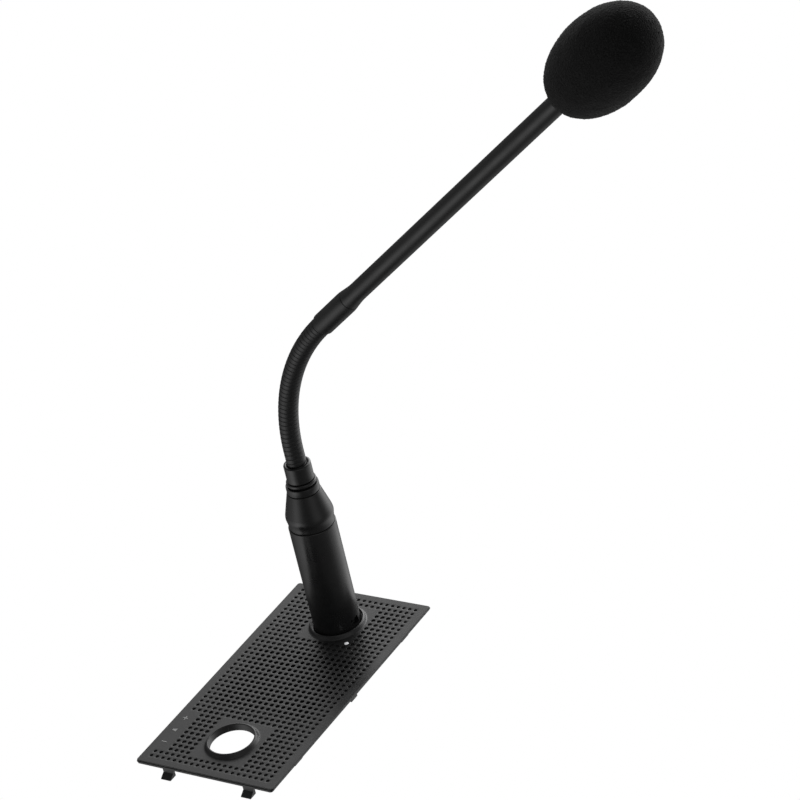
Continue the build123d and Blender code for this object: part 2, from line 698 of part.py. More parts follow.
def coupling_cone():
    """Screw cap above the barrel: spigot, plain neck, rounded flare and long cone."""
    flare_mid = (CONE_FLARE_LOW + CONE_FLARE_HIGH) / 2
    flare_end = CONE_FLARE_R - CONE_FLARE_LEAN
    neck_top = CONE_FLARE_LOW - CONE_FLARE_FOOT
    spigot_end = CONE_BOTTOM - SPIGOT_LENGTH
    bore = BUSHING_R + FIT
    low = Polyline(
        (bore, 0, spigot_end),
        (SPIGOT_R, 0, spigot_end),
        (SPIGOT_R, 0, CONE_BOTTOM),
        (CONE_NECK_R, 0, CONE_BOTTOM),
        (CONE_NECK_R, 0, neck_top),
    )
    flare = ThreePointArc(
        (CONE_NECK_R, 0, neck_top),
        (CONE_FLARE_R, 0, flare_mid - CONE_FLARE_SAG),
        (flare_end, 0, CONE_FLARE_HIGH),
    )
    cone = Polyline(
        (flare_end, 0, CONE_FLARE_HIGH),
        (CONE_TOP_R, 0, CONE_TOP),
        (bore, 0, CONE_TOP),
        (bore, 0, spigot_end),
    )
    return at_mic(turned_edges(low + flare + cone))


def rounded_ring(outer, inner, low, high, edge):
    ring = tube(outer, inner, low, high)
    rims = ring.edges().filter_by(GeomType.CIRCLE).filter_by(lambda e: e.radius > inner + FIT)
    return at_mic(fillet(rims, edge))


def clamp_ring():
    return rounded_ring(CLAMP_RING_R, BUSHING_R + FIT, CLAMP_RING_BOTTOM, CLAMP_RING_TOP,
                        CLAMP_RING_EDGE)


def bead_ring():
    return rounded_ring(BEAD_R, BUSHING_R + FIT, BEAD_BOTTOM, BEAD_TOP, BEAD_EDGE)


def neck_collar():
    """Collar with a rounded rim that the hose comes out of."""
    bore = BUSHING_R + FIT
    lip = COLLAR_TOP - COLLAR_LIP
    rim_low = (COLLAR_R, 0, COLLAR_TOP - COLLAR_RIM_HIGH)
    rim_mid = (COLLAR_R - COLLAR_RIM_MID_IN, 0, COLLAR_TOP - COLLAR_RIM_MID_DOWN)
    rim_top = (COLLAR_R - COLLAR_RIM_WIDE, 0, COLLAR_TOP)
    outside = Polyline(
        (bore, 0, COLLAR_BOTTOM),
        (COLLAR_R + COLLAR_FOOT, 0, COLLAR_BOTTOM),
        (COLLAR_R, 0, COLLAR_BOTTOM + COLLAR_FOOT_HIGH),
        rim_low,
    )
    inside = Polyline(
        rim_top,
        (COLLAR_MOUTH_R, 0, COLLAR_TOP - COLLAR_MOUTH_DIP),
        (COLLAR_MOUTH_R, 0, lip),
        (bore, 0, lip),
        (bore, 0, COLLAR_BOTTOM),
    )
    return at_mic(turned_edges(outside + ThreePointArc(rim_low, rim_mid, rim_top) + inside))


def stem_bushing():
    """Inner tube that the cone, rings and collar are pressed onto."""
    return at_mic(tube(BUSHING_R, BUSHING_BORE_R, BUSHING_BOTTOM, BUSHING_TOP))


def base_cable():
    return at_mic(rod(CABLE_R, PLUG_INSERT_TOP + CABLE_START_GAP, first_hinge_z() - CABLE_GAP))


# ---------------------------------------------------------------- gooseneck

def first_hinge_z():
    return BEND_START + HALF_LINK


def link_frame(index):
    """Frame with its origin on hinge `index` and +Z along the link above that hinge."""
    y = 0.0
    z = first_hinge_z()
    for k in range(1, index):
        angle = radians(k * HINGE_STEP)
        y -= LINK * sin(angle)
        z += LINK * cos(angle)
    return Location((MIC_X, y, z), (index * HINGE_STEP, 0, 0))


def ribs(low, high, count):
    """Rounded ribs up the outside of the hose, as a run of arcs in the XZ plane."""
    pitch = (high - low) / count
    edges = []
    for k in range(count):
        start = low + k * pitch
        edges.append(ThreePointArc(
            (HOSE_VALLEY_R, 0, start), (HOSE_R, 0, start + pitch / 2),
            (HOSE_VALLEY_R, 0, start + pitch),
        ))
    return edges


def ball_top(centre):
    """Outline of the ball end, from the neck over the ball to the bore."""
    neck_drop = sqrt(BALL_R ** 2 - LINK_NECK_R ** 2)
    bore_rise = sqrt(BALL_R ** 2 - LINK_BORE_R ** 2)
    return [
        Line((LINK_NECK_R, 0, centre - SHOULDER), (LINK_NECK_R, 0, centre - neck_drop)),
        ThreePointArc(
            (LINK_NECK_R, 0, centre - neck_drop), (BALL_R, 0, centre),
            (LINK_BORE_R, 0, centre + bore_rise),
        ),
    ], centre + bore_rise


def cup_outline():
    """Outline of the spherical cup round the hinge at height 0, bore first."""
    bore_rise = sqrt(CUP_R ** 2 - LINK_BORE_R ** 2)
    rim_r = sqrt(CUP_R ** 2 - CUP_SKIRT ** 2)
    return [
        ThreePointArc((LINK_BORE_R, 0, bore_rise), (CUP_R, 0, 0), (rim_r, 0, -CUP_SKIRT)),
        Line((rim_r, 0, -CUP_SKIRT), (HOSE_VALLEY_R, 0, -CUP_SKIRT)),
    ], bore_rise


def gooseneck_link():
    """One link in its own frame: cup at height 0, ball at height LINK."""
    cup, cup_top = cup_outline()
    ball, bore_end = ball_top(LINK)
    shoulder = LINK - SHOULDER
    edges = cup + ribs(-CUP_SKIRT, shoulder, RIBS_PER_LINK)
    edges += [Line((HOSE_VALLEY_R, 0, shoulder), (LINK_NECK_R, 0, shoulder))]
    edges += ball
    edges += [Line((LINK_BORE_R, 0, bore_end), (LINK_BORE_R, 0, cup_top))]
    return turned_edges(edges)


def gooseneck_root():
    """Lower end of the hose, held in the bushing and ending in the first ball."""
    centre = first_hinge_z()
    shoulder = centre - SHOULDER
    ball, bore_end = ball_top(centre)
    edges = [
        Line((LINK_BORE_R, 0, ROOT_BOTTOM), (HOSE_R, 0, ROOT_BOTTOM)),
        Line((HOSE_R, 0, ROOT_BOTTOM), (HOSE_R, 0, ROOT_RIBS_FROM)),
        Line((HOSE_R, 0, ROOT_RIBS_FROM), (HOSE_VALLEY_R, 0, ROOT_RIBS_FROM)),
    ]
    edges += ribs(ROOT_RIBS_FROM, shoulder, RIBS_PER_LINK)
    edges += [Line((HOSE_VALLEY_R, 0, shoulder), (LINK_NECK_R, 0, shoulder))]
    edges += ball
    edges += [Line((LINK_BORE_R, 0, bore_end), (LINK_BORE_R, 0, ROOT_BOTTOM))]
    return at_mic(turned_edges(edges))


def gooseneck_tip():
    """Upper end of the hose: last cup, ribs and the spigot inside the sleeve."""
    cup, cup_top = cup_outline()
    rib_end = HALF_LINK + SLEEVE_START
    spigot_end = rib_end + TIP_SPIGOT
    edges = cup + ribs(-CUP_SKIRT, rib_end, RIBS_PER_LINK)
    edges += [
        Line((HOSE_VALLEY_R, 0, rib_end), (SPIGOT_BORE_R - FIT, 0, rib_end)),
        Line((SPIGOT_BORE_R - FIT, 0, rib_end), (SPIGOT_BORE_R - FIT, 0, spigot_end)),
        Line((SPIGOT_BORE_R - FIT, 0, spigot_end), (LINK_BORE_R, 0, spigot_end)),
        Line((LINK_BORE_R, 0, spigot_end), (LINK_BORE_R, 0, cup_top)),
    ]
    return link_frame(HINGES) * turned_edges(edges)


def link_cable():
    return rod(CABLE_R, CABLE_GAP, LINK - CABLE_GAP)


# ---------------------------------------------------------------- head

def on_head(shape):
    """Place a shape drawn along Z, height 0 at the upper end of the bend."""
    return link_frame(HINGES) * (Pos(0, 0, HALF_LINK) * shape)


def taper_fall():
    """How far the sleeve's taper has drawn in at the seam with the tube."""
    share = (SLEEVE_END - SLEEVE_SHOULDER) / (TAPER_END - SLEEVE_SHOULDER)
    return (SLEEVE_R - TUBE_R) * share


def stalk_sleeve():
    start = SLEEVE_START + SLEEVE_GAP
    end = SLEEVE_END - 2 * SLEEVE_GAP
    return on_head(turned([
        (SPIGOT_BORE_R, start),
        (SLEEVE_R - SLEEVE_MOUTH_BEVEL, start),
        (SLEEVE_R, start + SLEEVE_MOUTH_RISE),
        (SLEEVE_R, SLEEVE_SHOULDER),
        (SLEEVE_R - taper_fall(), end),
        (SPIGOT_BORE_R, end),
    ]))


def stalk_tube():
    """Straight tube with a flared root and a spigot inside the sleeve."""
    spigot = SPIGOT_BORE_R - FIT
    shoulder = SLEEVE_END + SLEEVE_GAP
    return on_head(turned([
        (TUBE_BORE_R, TUBE_START),
        (spigot, TUBE_START),
        (spigot, shoulder),
        (SLEEVE_R - taper_fall(), shoulder),
        (TUBE_R, TAPER_END),
        (TUBE_R, TUBE_END),
        (TUBE_BORE_R, TUBE_END),
    ]))


def capsule_holder():
    """Turned plug in the end of the tube that carries the capsule."""
    tail = TUBE_END - HOLDER_TAIL
    seat = TUBE_END + FIT
    return on_head(turned([
        (HOLDER_BORE_R, tail),
        (TUBE_BORE_R - FIT, tail),
        (TUBE_BORE_R - FIT, seat),
        (HOLDER_R - HOLDER_BEVEL, seat),
        (HOLDER_R, TUBE_END + HOLDER_BEVEL_RISE),
        (HOLDER_R, HOLDER_END),
        (HOLDER_BORE_R, HOLDER_END),
    ]))


def amplifier_board():
    return on_head(tube(AMPLIFIER_R, AMPLIFIER_BORE_R, AMPLIFIER_START, AMPLIFIER_END))


def capsule_boot():
    """Rubber cup that holds the capsule clear of the cap."""
    outer = CAP_R - CAP_BOOT_ROOM
    floor = BOOT_START + BOOT_FLOOR
    return on_head(turned([
        (BOOT_BORE_R, BOOT_START),
        (outer, BOOT_START),
        (outer, BOOT_END),
        (CAPSULE_R + FIT, BOOT_END),
        (CAPSULE_R + FIT, floor),
        (BOOT_BORE_R, floor),
    ]))


def sound_holes(circles, low, high):
    """One hole on the axis and others evenly round each (radius, count) circle."""
    holes = [rod(SOUND_HOLE_R, low, high)]
    for radius, count in circles:
        for k in range(count):
            angle = radians(360 * k / count)
            holes.append(rod(SOUND_HOLE_R, low, high, radius * cos(angle), radius * sin(angle)))
    return holes


def capsule():
    end = CAPSULE_START + CAPSULE_LENGTH
    body = rod(CAPSULE_R, CAPSULE_START, end)
    circles = ((CAPSULE_HOLE_CIRCLE_R, 6),)
    return on_head(body - sound_holes(circles, end - SOUND_HOLE_DEPTH, end + OVERCUT))


def capsule_cap():
    """Thin metal cup over the capsule, with rings of sound holes in its front."""
    body = turned([
        (HOLDER_R + FIT, CAP_START),
        (CAP_R, CAP_START),
        (CAP_R, CAP_END - CAP_EDGE),
        (CAP_R - CAP_EDGE, CAP_END),
        (0, CAP_END),
        (0, CAP_END - CAP_WALL),
        (CAP_R - CAP_CORNER, CAP_END - CAP_WALL),
        (HOLDER_R + FIT, CAP_END - CAP_CORNER),
    ])
    low = CAP_END - CAP_WALL - OVERCUT
    return on_head(body - sound_holes(CAP_HOLE_CIRCLES, low, CAP_END + OVERCUT))


def head_cable():
    return on_head(rod(CABLE_R, -HALF_LINK + CABLE_GAP, HEAD_CABLE_END))


def foam_outline():
    """Points of the blunt egg from its rear mouth round to the front tip."""
    points = []
    for k in range(FOAM_STEPS + 1):
        turn = radians(FOAM_MOUTH_TURN * (1 - k / FOAM_STEPS))
        along = abs(cos(turn)) ** FOAM_BLUNT
        if cos(turn) > 0:
            height = FOAM_CENTRE + along * (FOAM_FRONT - FOAM_CENTRE)
        else:
            height = FOAM_CENTRE - along * (FOAM_CENTRE - FOAM_REAR)
        points.append((FOAM_R * sin(turn), 0, height))
    return points


def foam_windscreen():
    """Closed cell of foam with a cavity that clears the cap and a mouth on the tube."""
    outline = foam_outline()
    mouth_r = TUBE_R + FOAM_GRIP_ROOM
    rear = outline[0][2]
    skin = Spline(*outline, tangents=[(1, 0, FOAM_REAR_SLOPE), (-1, 0, 0)])
    cavity = Polyline(
        (0, 0, FOAM_FRONT),
        (0, 0, FOAM_CAVITY_END),
        (FOAM_CAVITY_R, 0, FOAM_CAVITY_END),
        (FOAM_CAVITY_R, 0, FOAM_CAVITY_START),
        (mouth_r, 0, FOAM_GRIP_END),
        (mouth_r, 0, rear),
        outline[0],
    )
    return on_head(turned_edges([skin, cavity]))


# ---------------------------------------------------------------- write every node

save(cover_panel(), "cover_panel")
save(acoustic_cloth(), "acoustic_cloth")
save(minus_symbol(), "minus_symbol")
save(loudspeaker_symbol(), "loudspeaker_symbol")
save(plus_symbol(), "plus_symbol")
save(light_pipe(), "indicator_light_pipe")
save(indicator_led(), "indicator_led")
save(socket_housing(), "socket_housing")
save(socket_face(), "socket_face")
save(socket_contacts(), "socket_contacts")
save(socket_screws(), "socket_screws")
save(socket_board(), "socket_board")
save(board_connector(), "board_connector")
save(connector_pins(), "connector_pins")

save(plug_barrel(), "plug_barrel")
save(plug_insert(), "plug_insert")
save(plug_pins(), "plug_pins")
save(insert_screw(), "insert_screw")
save(cable_chuck(), "cable_chuck")
save(coupling_cone(), "coupling_cone")
save(clamp_ring(), "clamp_ring")
save(bead_ring(), "bead_ring")
save(neck_collar(), "neck_collar")
save(stem_bushing(), "stem_bushing")
save(base_cable(), "base_cable")
save(gooseneck_root(), "gooseneck_root")

for number in range(1, HINGES):
    save(link_frame(number) * gooseneck_link(), f"gooseneck_link_{number}")
    save(link_frame(number) * link_cable(), f"cable_in_link_{number}")

save(gooseneck_tip(), "gooseneck_tip")
save(stalk_sleeve(), "stalk_sleeve")
save(stalk_tube(), "stalk_tube")
save(capsule_holder(), "capsule_holder")
save(amplifier_board(), "amplifier_board")
save(capsule_boot(), "capsule_boot")
save(capsule(), "capsule")
save(capsule_cap(), "capsule_cap")
save(head_cable(), "head_cable")
save(foam_windscreen(), "foam_windscreen")
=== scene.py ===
import json
from math import atan2, cos, exp, pi, radians, sin, tan

import bmesh
import bpy
from mathutils import Matrix, Vector, noise
from mathutils.geometry import tessellate_polygon

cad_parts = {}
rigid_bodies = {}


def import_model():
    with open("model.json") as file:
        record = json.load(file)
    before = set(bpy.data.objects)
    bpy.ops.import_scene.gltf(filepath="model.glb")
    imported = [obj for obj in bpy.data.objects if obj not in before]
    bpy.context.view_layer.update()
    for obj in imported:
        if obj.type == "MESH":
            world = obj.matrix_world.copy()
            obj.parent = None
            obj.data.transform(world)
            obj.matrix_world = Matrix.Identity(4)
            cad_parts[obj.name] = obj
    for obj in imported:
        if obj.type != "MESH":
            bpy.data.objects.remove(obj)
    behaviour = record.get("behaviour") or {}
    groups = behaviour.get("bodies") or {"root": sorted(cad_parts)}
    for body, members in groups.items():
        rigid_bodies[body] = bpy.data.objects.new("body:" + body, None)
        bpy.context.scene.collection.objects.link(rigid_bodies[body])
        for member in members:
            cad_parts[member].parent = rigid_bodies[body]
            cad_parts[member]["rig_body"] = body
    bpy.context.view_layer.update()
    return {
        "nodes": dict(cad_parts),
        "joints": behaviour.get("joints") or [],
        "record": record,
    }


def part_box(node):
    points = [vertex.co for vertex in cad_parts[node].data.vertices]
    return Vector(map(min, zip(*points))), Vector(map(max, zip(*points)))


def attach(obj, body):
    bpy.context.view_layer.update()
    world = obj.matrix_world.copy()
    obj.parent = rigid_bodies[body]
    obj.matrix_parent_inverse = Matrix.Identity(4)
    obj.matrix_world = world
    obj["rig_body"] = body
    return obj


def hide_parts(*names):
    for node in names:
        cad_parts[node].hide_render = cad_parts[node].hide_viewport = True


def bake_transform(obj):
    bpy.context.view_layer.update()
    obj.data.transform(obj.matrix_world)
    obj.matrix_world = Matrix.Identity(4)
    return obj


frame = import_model()

# ---------------------------------------------------------------- sizes
# Lengths named here are in millimetres, like the outlines further down; MM turns them to metres.

MM = 0.001
PANEL_TOP = 1.4
TURNED_SIDES = 160
SHARP = radians(38)           # edges sharper than this stay crisp

# cover panel
PANEL_LENGTH = 118.8
PANEL_WIDTH = 63.2
PITCH = 2.7
COLUMNS = 42
ROWS = 21
HOLE_D = (1.45, 1.57, 1.68, 1.80)     # outermost row first, the last for all inner rows
HOLE_SIDES = 24
HOLE_LIP = 0.03
DIMPLE_DEPTH = 0.5
THROUGH_X = 6.5               # pitches; inside this field the holes go through
THROUGH_Y = 8
CLEAR = 4                     # pitches; no holes this close to a ring's centre
RING_CELL = 14.5              # pitches from the panel's centre to a ring's centre
SYMBOL_ROW = 9                # pitches; first row left out beside the symbols
SYMBOL_CELLS = (-18.5, -10.5)
LIGHT_CELL = (10.5, -4)
LIGHT_R = 0.85
LIGHT_HOLE_R = 0.9
CORNER_R = 1.0
CORNER_STEPS = 10
EDGE_ROUND = 0.2
LIP_HEIGHT = 0.5              # the lower part of each long edge is stepped inward
LIP_INSET = 0.35
SHELF_HEIGHT = 0.9            # the lower part of each short edge is stepped outward
SHELF_REACH = 0.3
RING_HEIGHT = 1.65
RING_SIDES = 192
LEDGE_HEIGHT = 0.55           # ledge inside the microphone's ring, above the panel's face
LIGHT_SIDES = 48
CUT_FINE = 0.05               # smallest rounding: the edge's steps and the window's cutter
ROOT_Z = 0.3                  # hooks and tabs are rooted in the plate up to here
HOOK_Y = (17.6, -19.5)
HOOK_WIDTH = 4.6
HOOK_INSET = 0.4
HOOK_THICK = 1.3
HOOK_DEPTH = 3.9
HOOK_REACH = 2.2
HOOK_NECK = 2.1
HOOK_TIP = 0.4
HOOK_TIP_LEAN = 0.25
HOOK_BEVEL = 0.1
TABS = ((0.6, 4.0, 1.3), (39.7, 5.0, 0.7), (-40.1, 5.0, 0.7))     # x, width, depth
TAB_INSET = 0.5
TAB_THICK = 0.9
TAB_SLOPE = 0.35
TAB_BEVEL = 0.08
BOSS_REACH = 14.5             # from the microphone's axis to each screw boss
BOSS_R = 2.4
BOSS_HOLE_R = 0.85
BOSS_BOTTOM = -6.0
GUIDE_R = 2.15
GUIDE_BOTTOM = -2.2
RIM_EASE = 0.1                # bevel at the lower end of the bosses and the guide
INSIDE_Z = 0.2                # bosses and the guide are rooted in the plate up to here

# plug
WINDOW_WIDTH = 4.6
WINDOW_HEIGHT = 3.2
WINDOW_CORNER = 0.6
WINDOW_HALF_DEPTH = 2.5
CORNER_QUARTER_STEPS = 4
PRESSED_BORE_R = 4.73         # bore of every piece pressed onto the bushing

# hose
RIB_PITCH = 2.0               # advance of the hose's spiral in one turn
HOSE_CREST_R = 3.92
RIB_DOME = 0.05
GROOVE_DEPTH = 0.14
GROOVE_WIDTH = 0.07           # as a share of the pitch
GROOVE_PHASE = 0.2            # turns
HOSE_BORE_R = 3.3
HOSE_SPIGOT_R = 3.4           # plain end inside the sleeve
SLOPE_STEP = 0.02             # half the length over which the rib's slope is measured
HOSE_SIDES = 64
STEPS_PER_RIB = 20

# foam
FOAM_SIDES = 300
FOAM_RINGS = 300
FOAM_MOUTH_TURN = radians(163)        # round the egg from the front tip to the mouth
FOAM_BLUNT = 0.93             # exponent below 1 makes the ends blunter than an ellipse
FOAM_NOSE = 24.5              # from the widest place to the front tip
FOAM_LENGTH = 50.8            # from the front tip to where the egg would close without a mouth
FOAM_MOUTH_R = 3.75
FOAM_CAVITY_R = 5.7
FOAM_CAVITY_BEYOND = 26.2     # how far the cavity runs past the tube's end
PORE = 0.8                    # size of the foam's cells
PORE_DEPTH = 0.26
LUMP = 5.0                    # slow unevenness of the cut foam
LUMP_DEPTH = 0.16

# ---------------------------------------------------------------- facts read from the frame

BODIES = ["plug"] + [f"link_{k}" for k in range(1, 10)] + ["head"]
SLOT_OF = {part["node"]: part["material_slot"] for part in frame["record"]["subparts"]}


def hinge_centres():
    hinges = [j for j in frame["joints"] if j["type"] == "hinge"]
    hinges.sort(key=lambda j: BODIES.index(j["child"]))
    return [Vector(j["pos_m"]) / MM for j in hinges]


def tilt_of(step):
    return atan2(-step.y, step.z)


HINGES = hinge_centres()
MIC_X = HINGES[0].x
LINK = (HINGES[1] - HINGES[0]).length
HINGE_STEP = tilt_of(HINGES[2] - HINGES[1]) - tilt_of(HINGES[1] - HINGES[0])
BEND_ANGLE = HINGE_STEP * len(HINGES)
BEND_R = LINK / 2 / tan(HINGE_STEP / 2)
BEND_START = HINGES[0].z - LINK / 2
BEND_LENGTH = BEND_R * BEND_ANGLE


def hose_frame(distance):
    """Frame on the hose's centre line with Z along it, distance being measured from
    the start of the bend."""
    angle = min(max(distance / BEND_R, 0.0), BEND_ANGLE)
    beyond = distance - angle * BEND_R
    y = -BEND_R * (1 - cos(angle)) - beyond * sin(angle)
    z = BEND_START + BEND_R * sin(angle) + beyond * cos(angle)
    return Matrix.Translation((MIC_X, y, z)) @ Matrix.Rotation(angle, 4, "X")


AT_MIC = Matrix.Translation((MIC_X, 0, 0))
ON_HEAD = hose_frame(BEND_LENGTH)


def along_head(node):
    """Nearest and farthest distance of a CAD node from the bend's end, and its radius."""
    inverse = ON_HEAD.inverted()
    points = [inverse @ (v.co / MM) for v in frame["nodes"][node].data.vertices]
    heights = [p.z for p in points]
    return min(heights), max(heights), max(p.xy.length for p in points)


# ---------------------------------------------------------------- making meshes

class Shell:
    """Faces gathered by corner position, so that faces that meet share their corners."""

    def __init__(self):
        self.index = {}
        self.points = []
        self.faces = []

    def corner(self, point):
        key = tuple(round(c * 1e5) for c in point)
        if key not in self.index:
            self.index[key] = len(self.points)
            self.points.append(tuple(point))
        return self.index[key]

    def face(self, corners):
        ids = []
        for point in corners:
            corner = self.corner(point)
            if corner not in ids:
                ids.append(corner)
        if len(ids) > 2:
            self.faces.append(ids)

    def band(self, first, second):
        """Quads between two closed rings that have the same number of points."""
        for k in range(len(first)):
            j = (k + 1) % len(first)
            self.face([first[k], first[j], second[j], second[k]])

    def bands(self, rings):
        for first, second in zip(rings, rings[1:]):
            self.band(first, second)

    def flat(self, outer, holes=()):
        """Flat region inside outer and outside each hole."""
        loops = [[Vector(p) for p in loop] for loop in (outer, *holes)]
        points = [p for loop in loops for p in loop]
        for triangle in tessellate_polygon(loops):
            self.face([points[k] for k in triangle])

    def add(self, other, matrix):
        """Another shell's faces, moved by matrix."""
        moved = [matrix @ Vector(p) for p in other.points]
        start = len(self.points)
        self.points += [tuple(p) for p in moved]
        self.faces += [[start + k for k in face] for face in other.faces]


def make_object(name, shell, matrix=Matrix()):
    """Object from a shell drawn in millimetres, with outward normals and smooth shading."""
    mesh = bpy.data.meshes.new(name)
    mesh.from_pydata(shell.points, [], shell.faces)
    mesh.transform(Matrix.Scale(MM, 4) @ matrix)
    bm = bmesh.new()
    bm.from_mesh(mesh)
    bmesh.ops.recalc_face_normals(bm, faces=bm.faces)
    bm.to_mesh(mesh)
    bm.free()
    mesh.shade_smooth()
    mesh.set_sharp_from_angle(angle=SHARP)
    obj = bpy.data.objects.new(name, mesh)
    bpy.context.scene.collection.objects.link(obj)
    obj.modifiers.new("even_normals", "WEIGHTED_NORMAL").keep_sharp = True
    return obj


def rounded(corners, steps=4):
    """Closed outline from (radius, height, rounding) corners."""
    outline = []
    count = len(corners)
    for k, (r, z, size) in enumerate(corners):
        here = Vector((r, z))
        back = Vector(corners[k - 1][:2]) - here
        ahead = Vector(corners[(k + 1) % count][:2]) - here
        size = min(size, back.length * 0.45, ahead.length * 0.45)
        if size <= 0:
            outline.append(here)
            continue
        start = here + back.normalized() * size
        end = here + ahead.normalized() * size
        for s in range(steps + 1):
            t = s / steps
            outline.append(start * (1 - t) ** 2 + here * (2 * t * (1 - t)) + end * t ** 2)
    return outline


def circle(radius, z, sides=TURNED_SIDES, x=0.0, y=0.0):
    points = []
    for k in range(sides):
        angle = 2 * pi * k / sides
        points.append((x + radius * cos(angle), y + radius * sin(angle), z))
    return points


def turned(outline, sides=TURNED_SIDES):
    """Shell of a closed outline of (radius, height) points turned round Z."""
    rings = [circle(r, z, sides) for r, z in outline]
    rings.append(rings[0])
    shell = Shell()
    shell.bands(rings)
    return shell


def prism(outline, half_width, bevel):
    """Shell of a flat outline of (x, z) points, drawn out along Y both ways, edges bevelled."""
    near = [(x, -half_width, z) for x, z in outline]
    far = [(x, half_width, z) for x, z in outline]
    shell = Shell()
    shell.band(near, far)
    shell.face(near)
    shell.face(far)
    bm = bmesh.new()
    verts = [bm.verts.new(p) for p in shell.points]
    for face in shell.faces:
        bm.faces.new([verts[k] for k in face])
    bmesh.ops.recalc_face_normals(bm, faces=bm.faces)
    bmesh.ops.bevel(bm, geom=bm.edges[:], offset=bevel, segments=3, profile=0.5,
                    affect="EDGES")
    bm.verts.index_update()
    shell.points = [tuple(v.co) for v in bm.verts]
    shell.faces = [[v.index for v in face.verts] for face in bm.faces]
    bm.free()
    return shell


# ---------------------------------------------------------------- cover panel

def side_stops(first, last):
    """Where cell border points fall along a run of cells, up to the last corner left out."""
    eighth = HOLE_SIDES // 8
    stops = []
    cell = first
    while cell <= last:
        for m in range(-eighth, eighth):
            stops.append((cell + tan(2 * pi * m / HOLE_SIDES) / 2) * PITCH)
        cell += 1
    return stops


def cell_border(x_cells, y_cells, z):
    """Points round a block of cells, given its first and last cell each way, in pitches."""
    (x0, x1), (y0, y1) = x_cells, y_cells
    left, right = (x0 - 0.5) * PITCH, (x1 + 0.5) * PITCH
    low, high = (y0 - 0.5) * PITCH, (y1 + 0.5) * PITCH
    loop = [(x, low, z) for x in side_stops(x0, x1)]
    loop += [(right, y, z) for y in side_stops(y0, y1)]
    loop += [(-x, high, z) for x in side_stops(-x1, -x0)]
    loop += [(left, -y, z) for y in side_stops(-y1, -y0)]
    return loop


def around_cell(i, j, z):
    """A cell's square border with a point in line with each side of its round hole."""
    points = []
    for k in range(HOLE_SIDES):
        angle = 2 * pi * k / HOLE_SIDES
        reach = PITCH / 2 / max(abs(cos(angle)), abs(sin(angle)))
        points.append((i * PITCH + reach * cos(angle), j * PITCH + reach * sin(angle), z))
    return points


def hole_radius(i, j):
    column = i + (COLUMNS - 1) / 2
    row = j + (ROWS - 1) / 2
    steps_in = int(min(column, COLUMNS - 1 - column, row, ROWS - 1 - row))
    return HOLE_D[min(steps_in, len(HOLE_D) - 1)] / 2


def is_beside_ring(i, j):
    return abs(abs(i) - RING_CELL) <= CLEAR and abs(j) <= CLEAR


def is_beside_symbols(i, j):
    return j >= SYMBOL_ROW and SYMBOL_CELLS[0] <= i <= SYMBOL_CELLS[1]


def goes_through(i, j):
    return abs(i) <= THROUGH_X and abs(j) <= THROUGH_Y


def hole_rings(i, j, face, inward):
    """Rings from the cell's border over the rounded lip to the end of the hole's wall.
    face is the height of the plate's face; inward is -1 on the upper one, 1 on the lower."""
    x, y = i * PITCH, j * PITCH
    radius = hole_radius(i, j)
    rings = [around_cell(i, j, face)]
    for turn in (0, 30, 60, 90):
        out = HOLE_LIP * (1 - sin(radians(turn)))
        drop = HOLE_LIP * (1 - cos(radians(turn)))
        rings.append(circle(radius + out, face + inward * drop, HOLE_SIDES, x, y))
    return rings


def add_hole(shell, i, j):
    x, y = i * PITCH, j * PITCH
    radius = hole_radius(i, j)
    shell.bands(hole_rings(i, j, PANEL_TOP, -1))
    lip_ring = circle(radius, PANEL_TOP - HOLE_LIP, HOLE_SIDES, x, y)
    if goes_through(i, j):
        shell.band(lip_ring, circle(radius, HOLE_LIP, HOLE_SIDES, x, y))
        shell.bands(hole_rings(i, j, 0.0, 1))
        return
    floor = PANEL_TOP - DIMPLE_DEPTH
    rings = [lip_ring]
    for turn in (0, 45, 90):
        rings.append(circle(radius - HOLE_LIP * (1 - cos(radians(turn))),
                            floor + HOLE_LIP * (1 - sin(radians(turn))), HOLE_SIDES, x, y))
    shell.bands(rings)
    shell.face(rings[-1])


def rounded_rectangle(inset_x, inset_y, z):
    length = PANEL_LENGTH - 2 * inset_x
    width = PANEL_WIDTH - 2 * inset_y
    loop = []
    for quarter, (sx, sy) in enumerate(((1, 1), (-1, 1), (-1, -1), (1, -1))):
        cx = sx * (length / 2 - CORNER_R)
        cy = sy * (width / 2 - CORNER_R)
        for k in range(CORNER_STEPS + 1):
            angle = pi / 2 * (quarter + k / CORNER_STEPS)
            loop.append((cx + CORNER_R * cos(angle), cy + CORNER_R * sin(angle), z))
    return loop


def panel_edge(shell):
    """The stepped edge all round; returns its top and bottom loops."""
    loops = []
    for turn in (0, 30, 60, 90):
        inset = EDGE_ROUND * (1 - sin(radians(turn)))
        drop = EDGE_ROUND * (1 - cos(radians(turn)))
        loops.append(rounded_rectangle(inset, inset, PANEL_TOP - drop))
    fine = CUT_FINE
    loops += [
        rounded_rectangle(0, 0, SHELF_HEIGHT + fine),
        rounded_rectangle(0, 0, SHELF_HEIGHT),
        rounded_rectangle(fine - SHELF_REACH, 0, SHELF_HEIGHT),
        rounded_rectangle(-SHELF_REACH, 0, SHELF_HEIGHT - fine),
        rounded_rectangle(-SHELF_REACH, 0, LIP_HEIGHT + fine),
        rounded_rectangle(-SHELF_REACH, fine, LIP_HEIGHT),
        rounded_rectangle(-SHELF_REACH, LIP_INSET, LIP_HEIGHT),
        rounded_rectangle(-SHELF_REACH, LIP_INSET, fine),
        rounded_rectangle(fine - SHELF_REACH, LIP_INSET + fine, 0),
    ]
    shell.bands(loops)
    return loops[0], loops[-1]


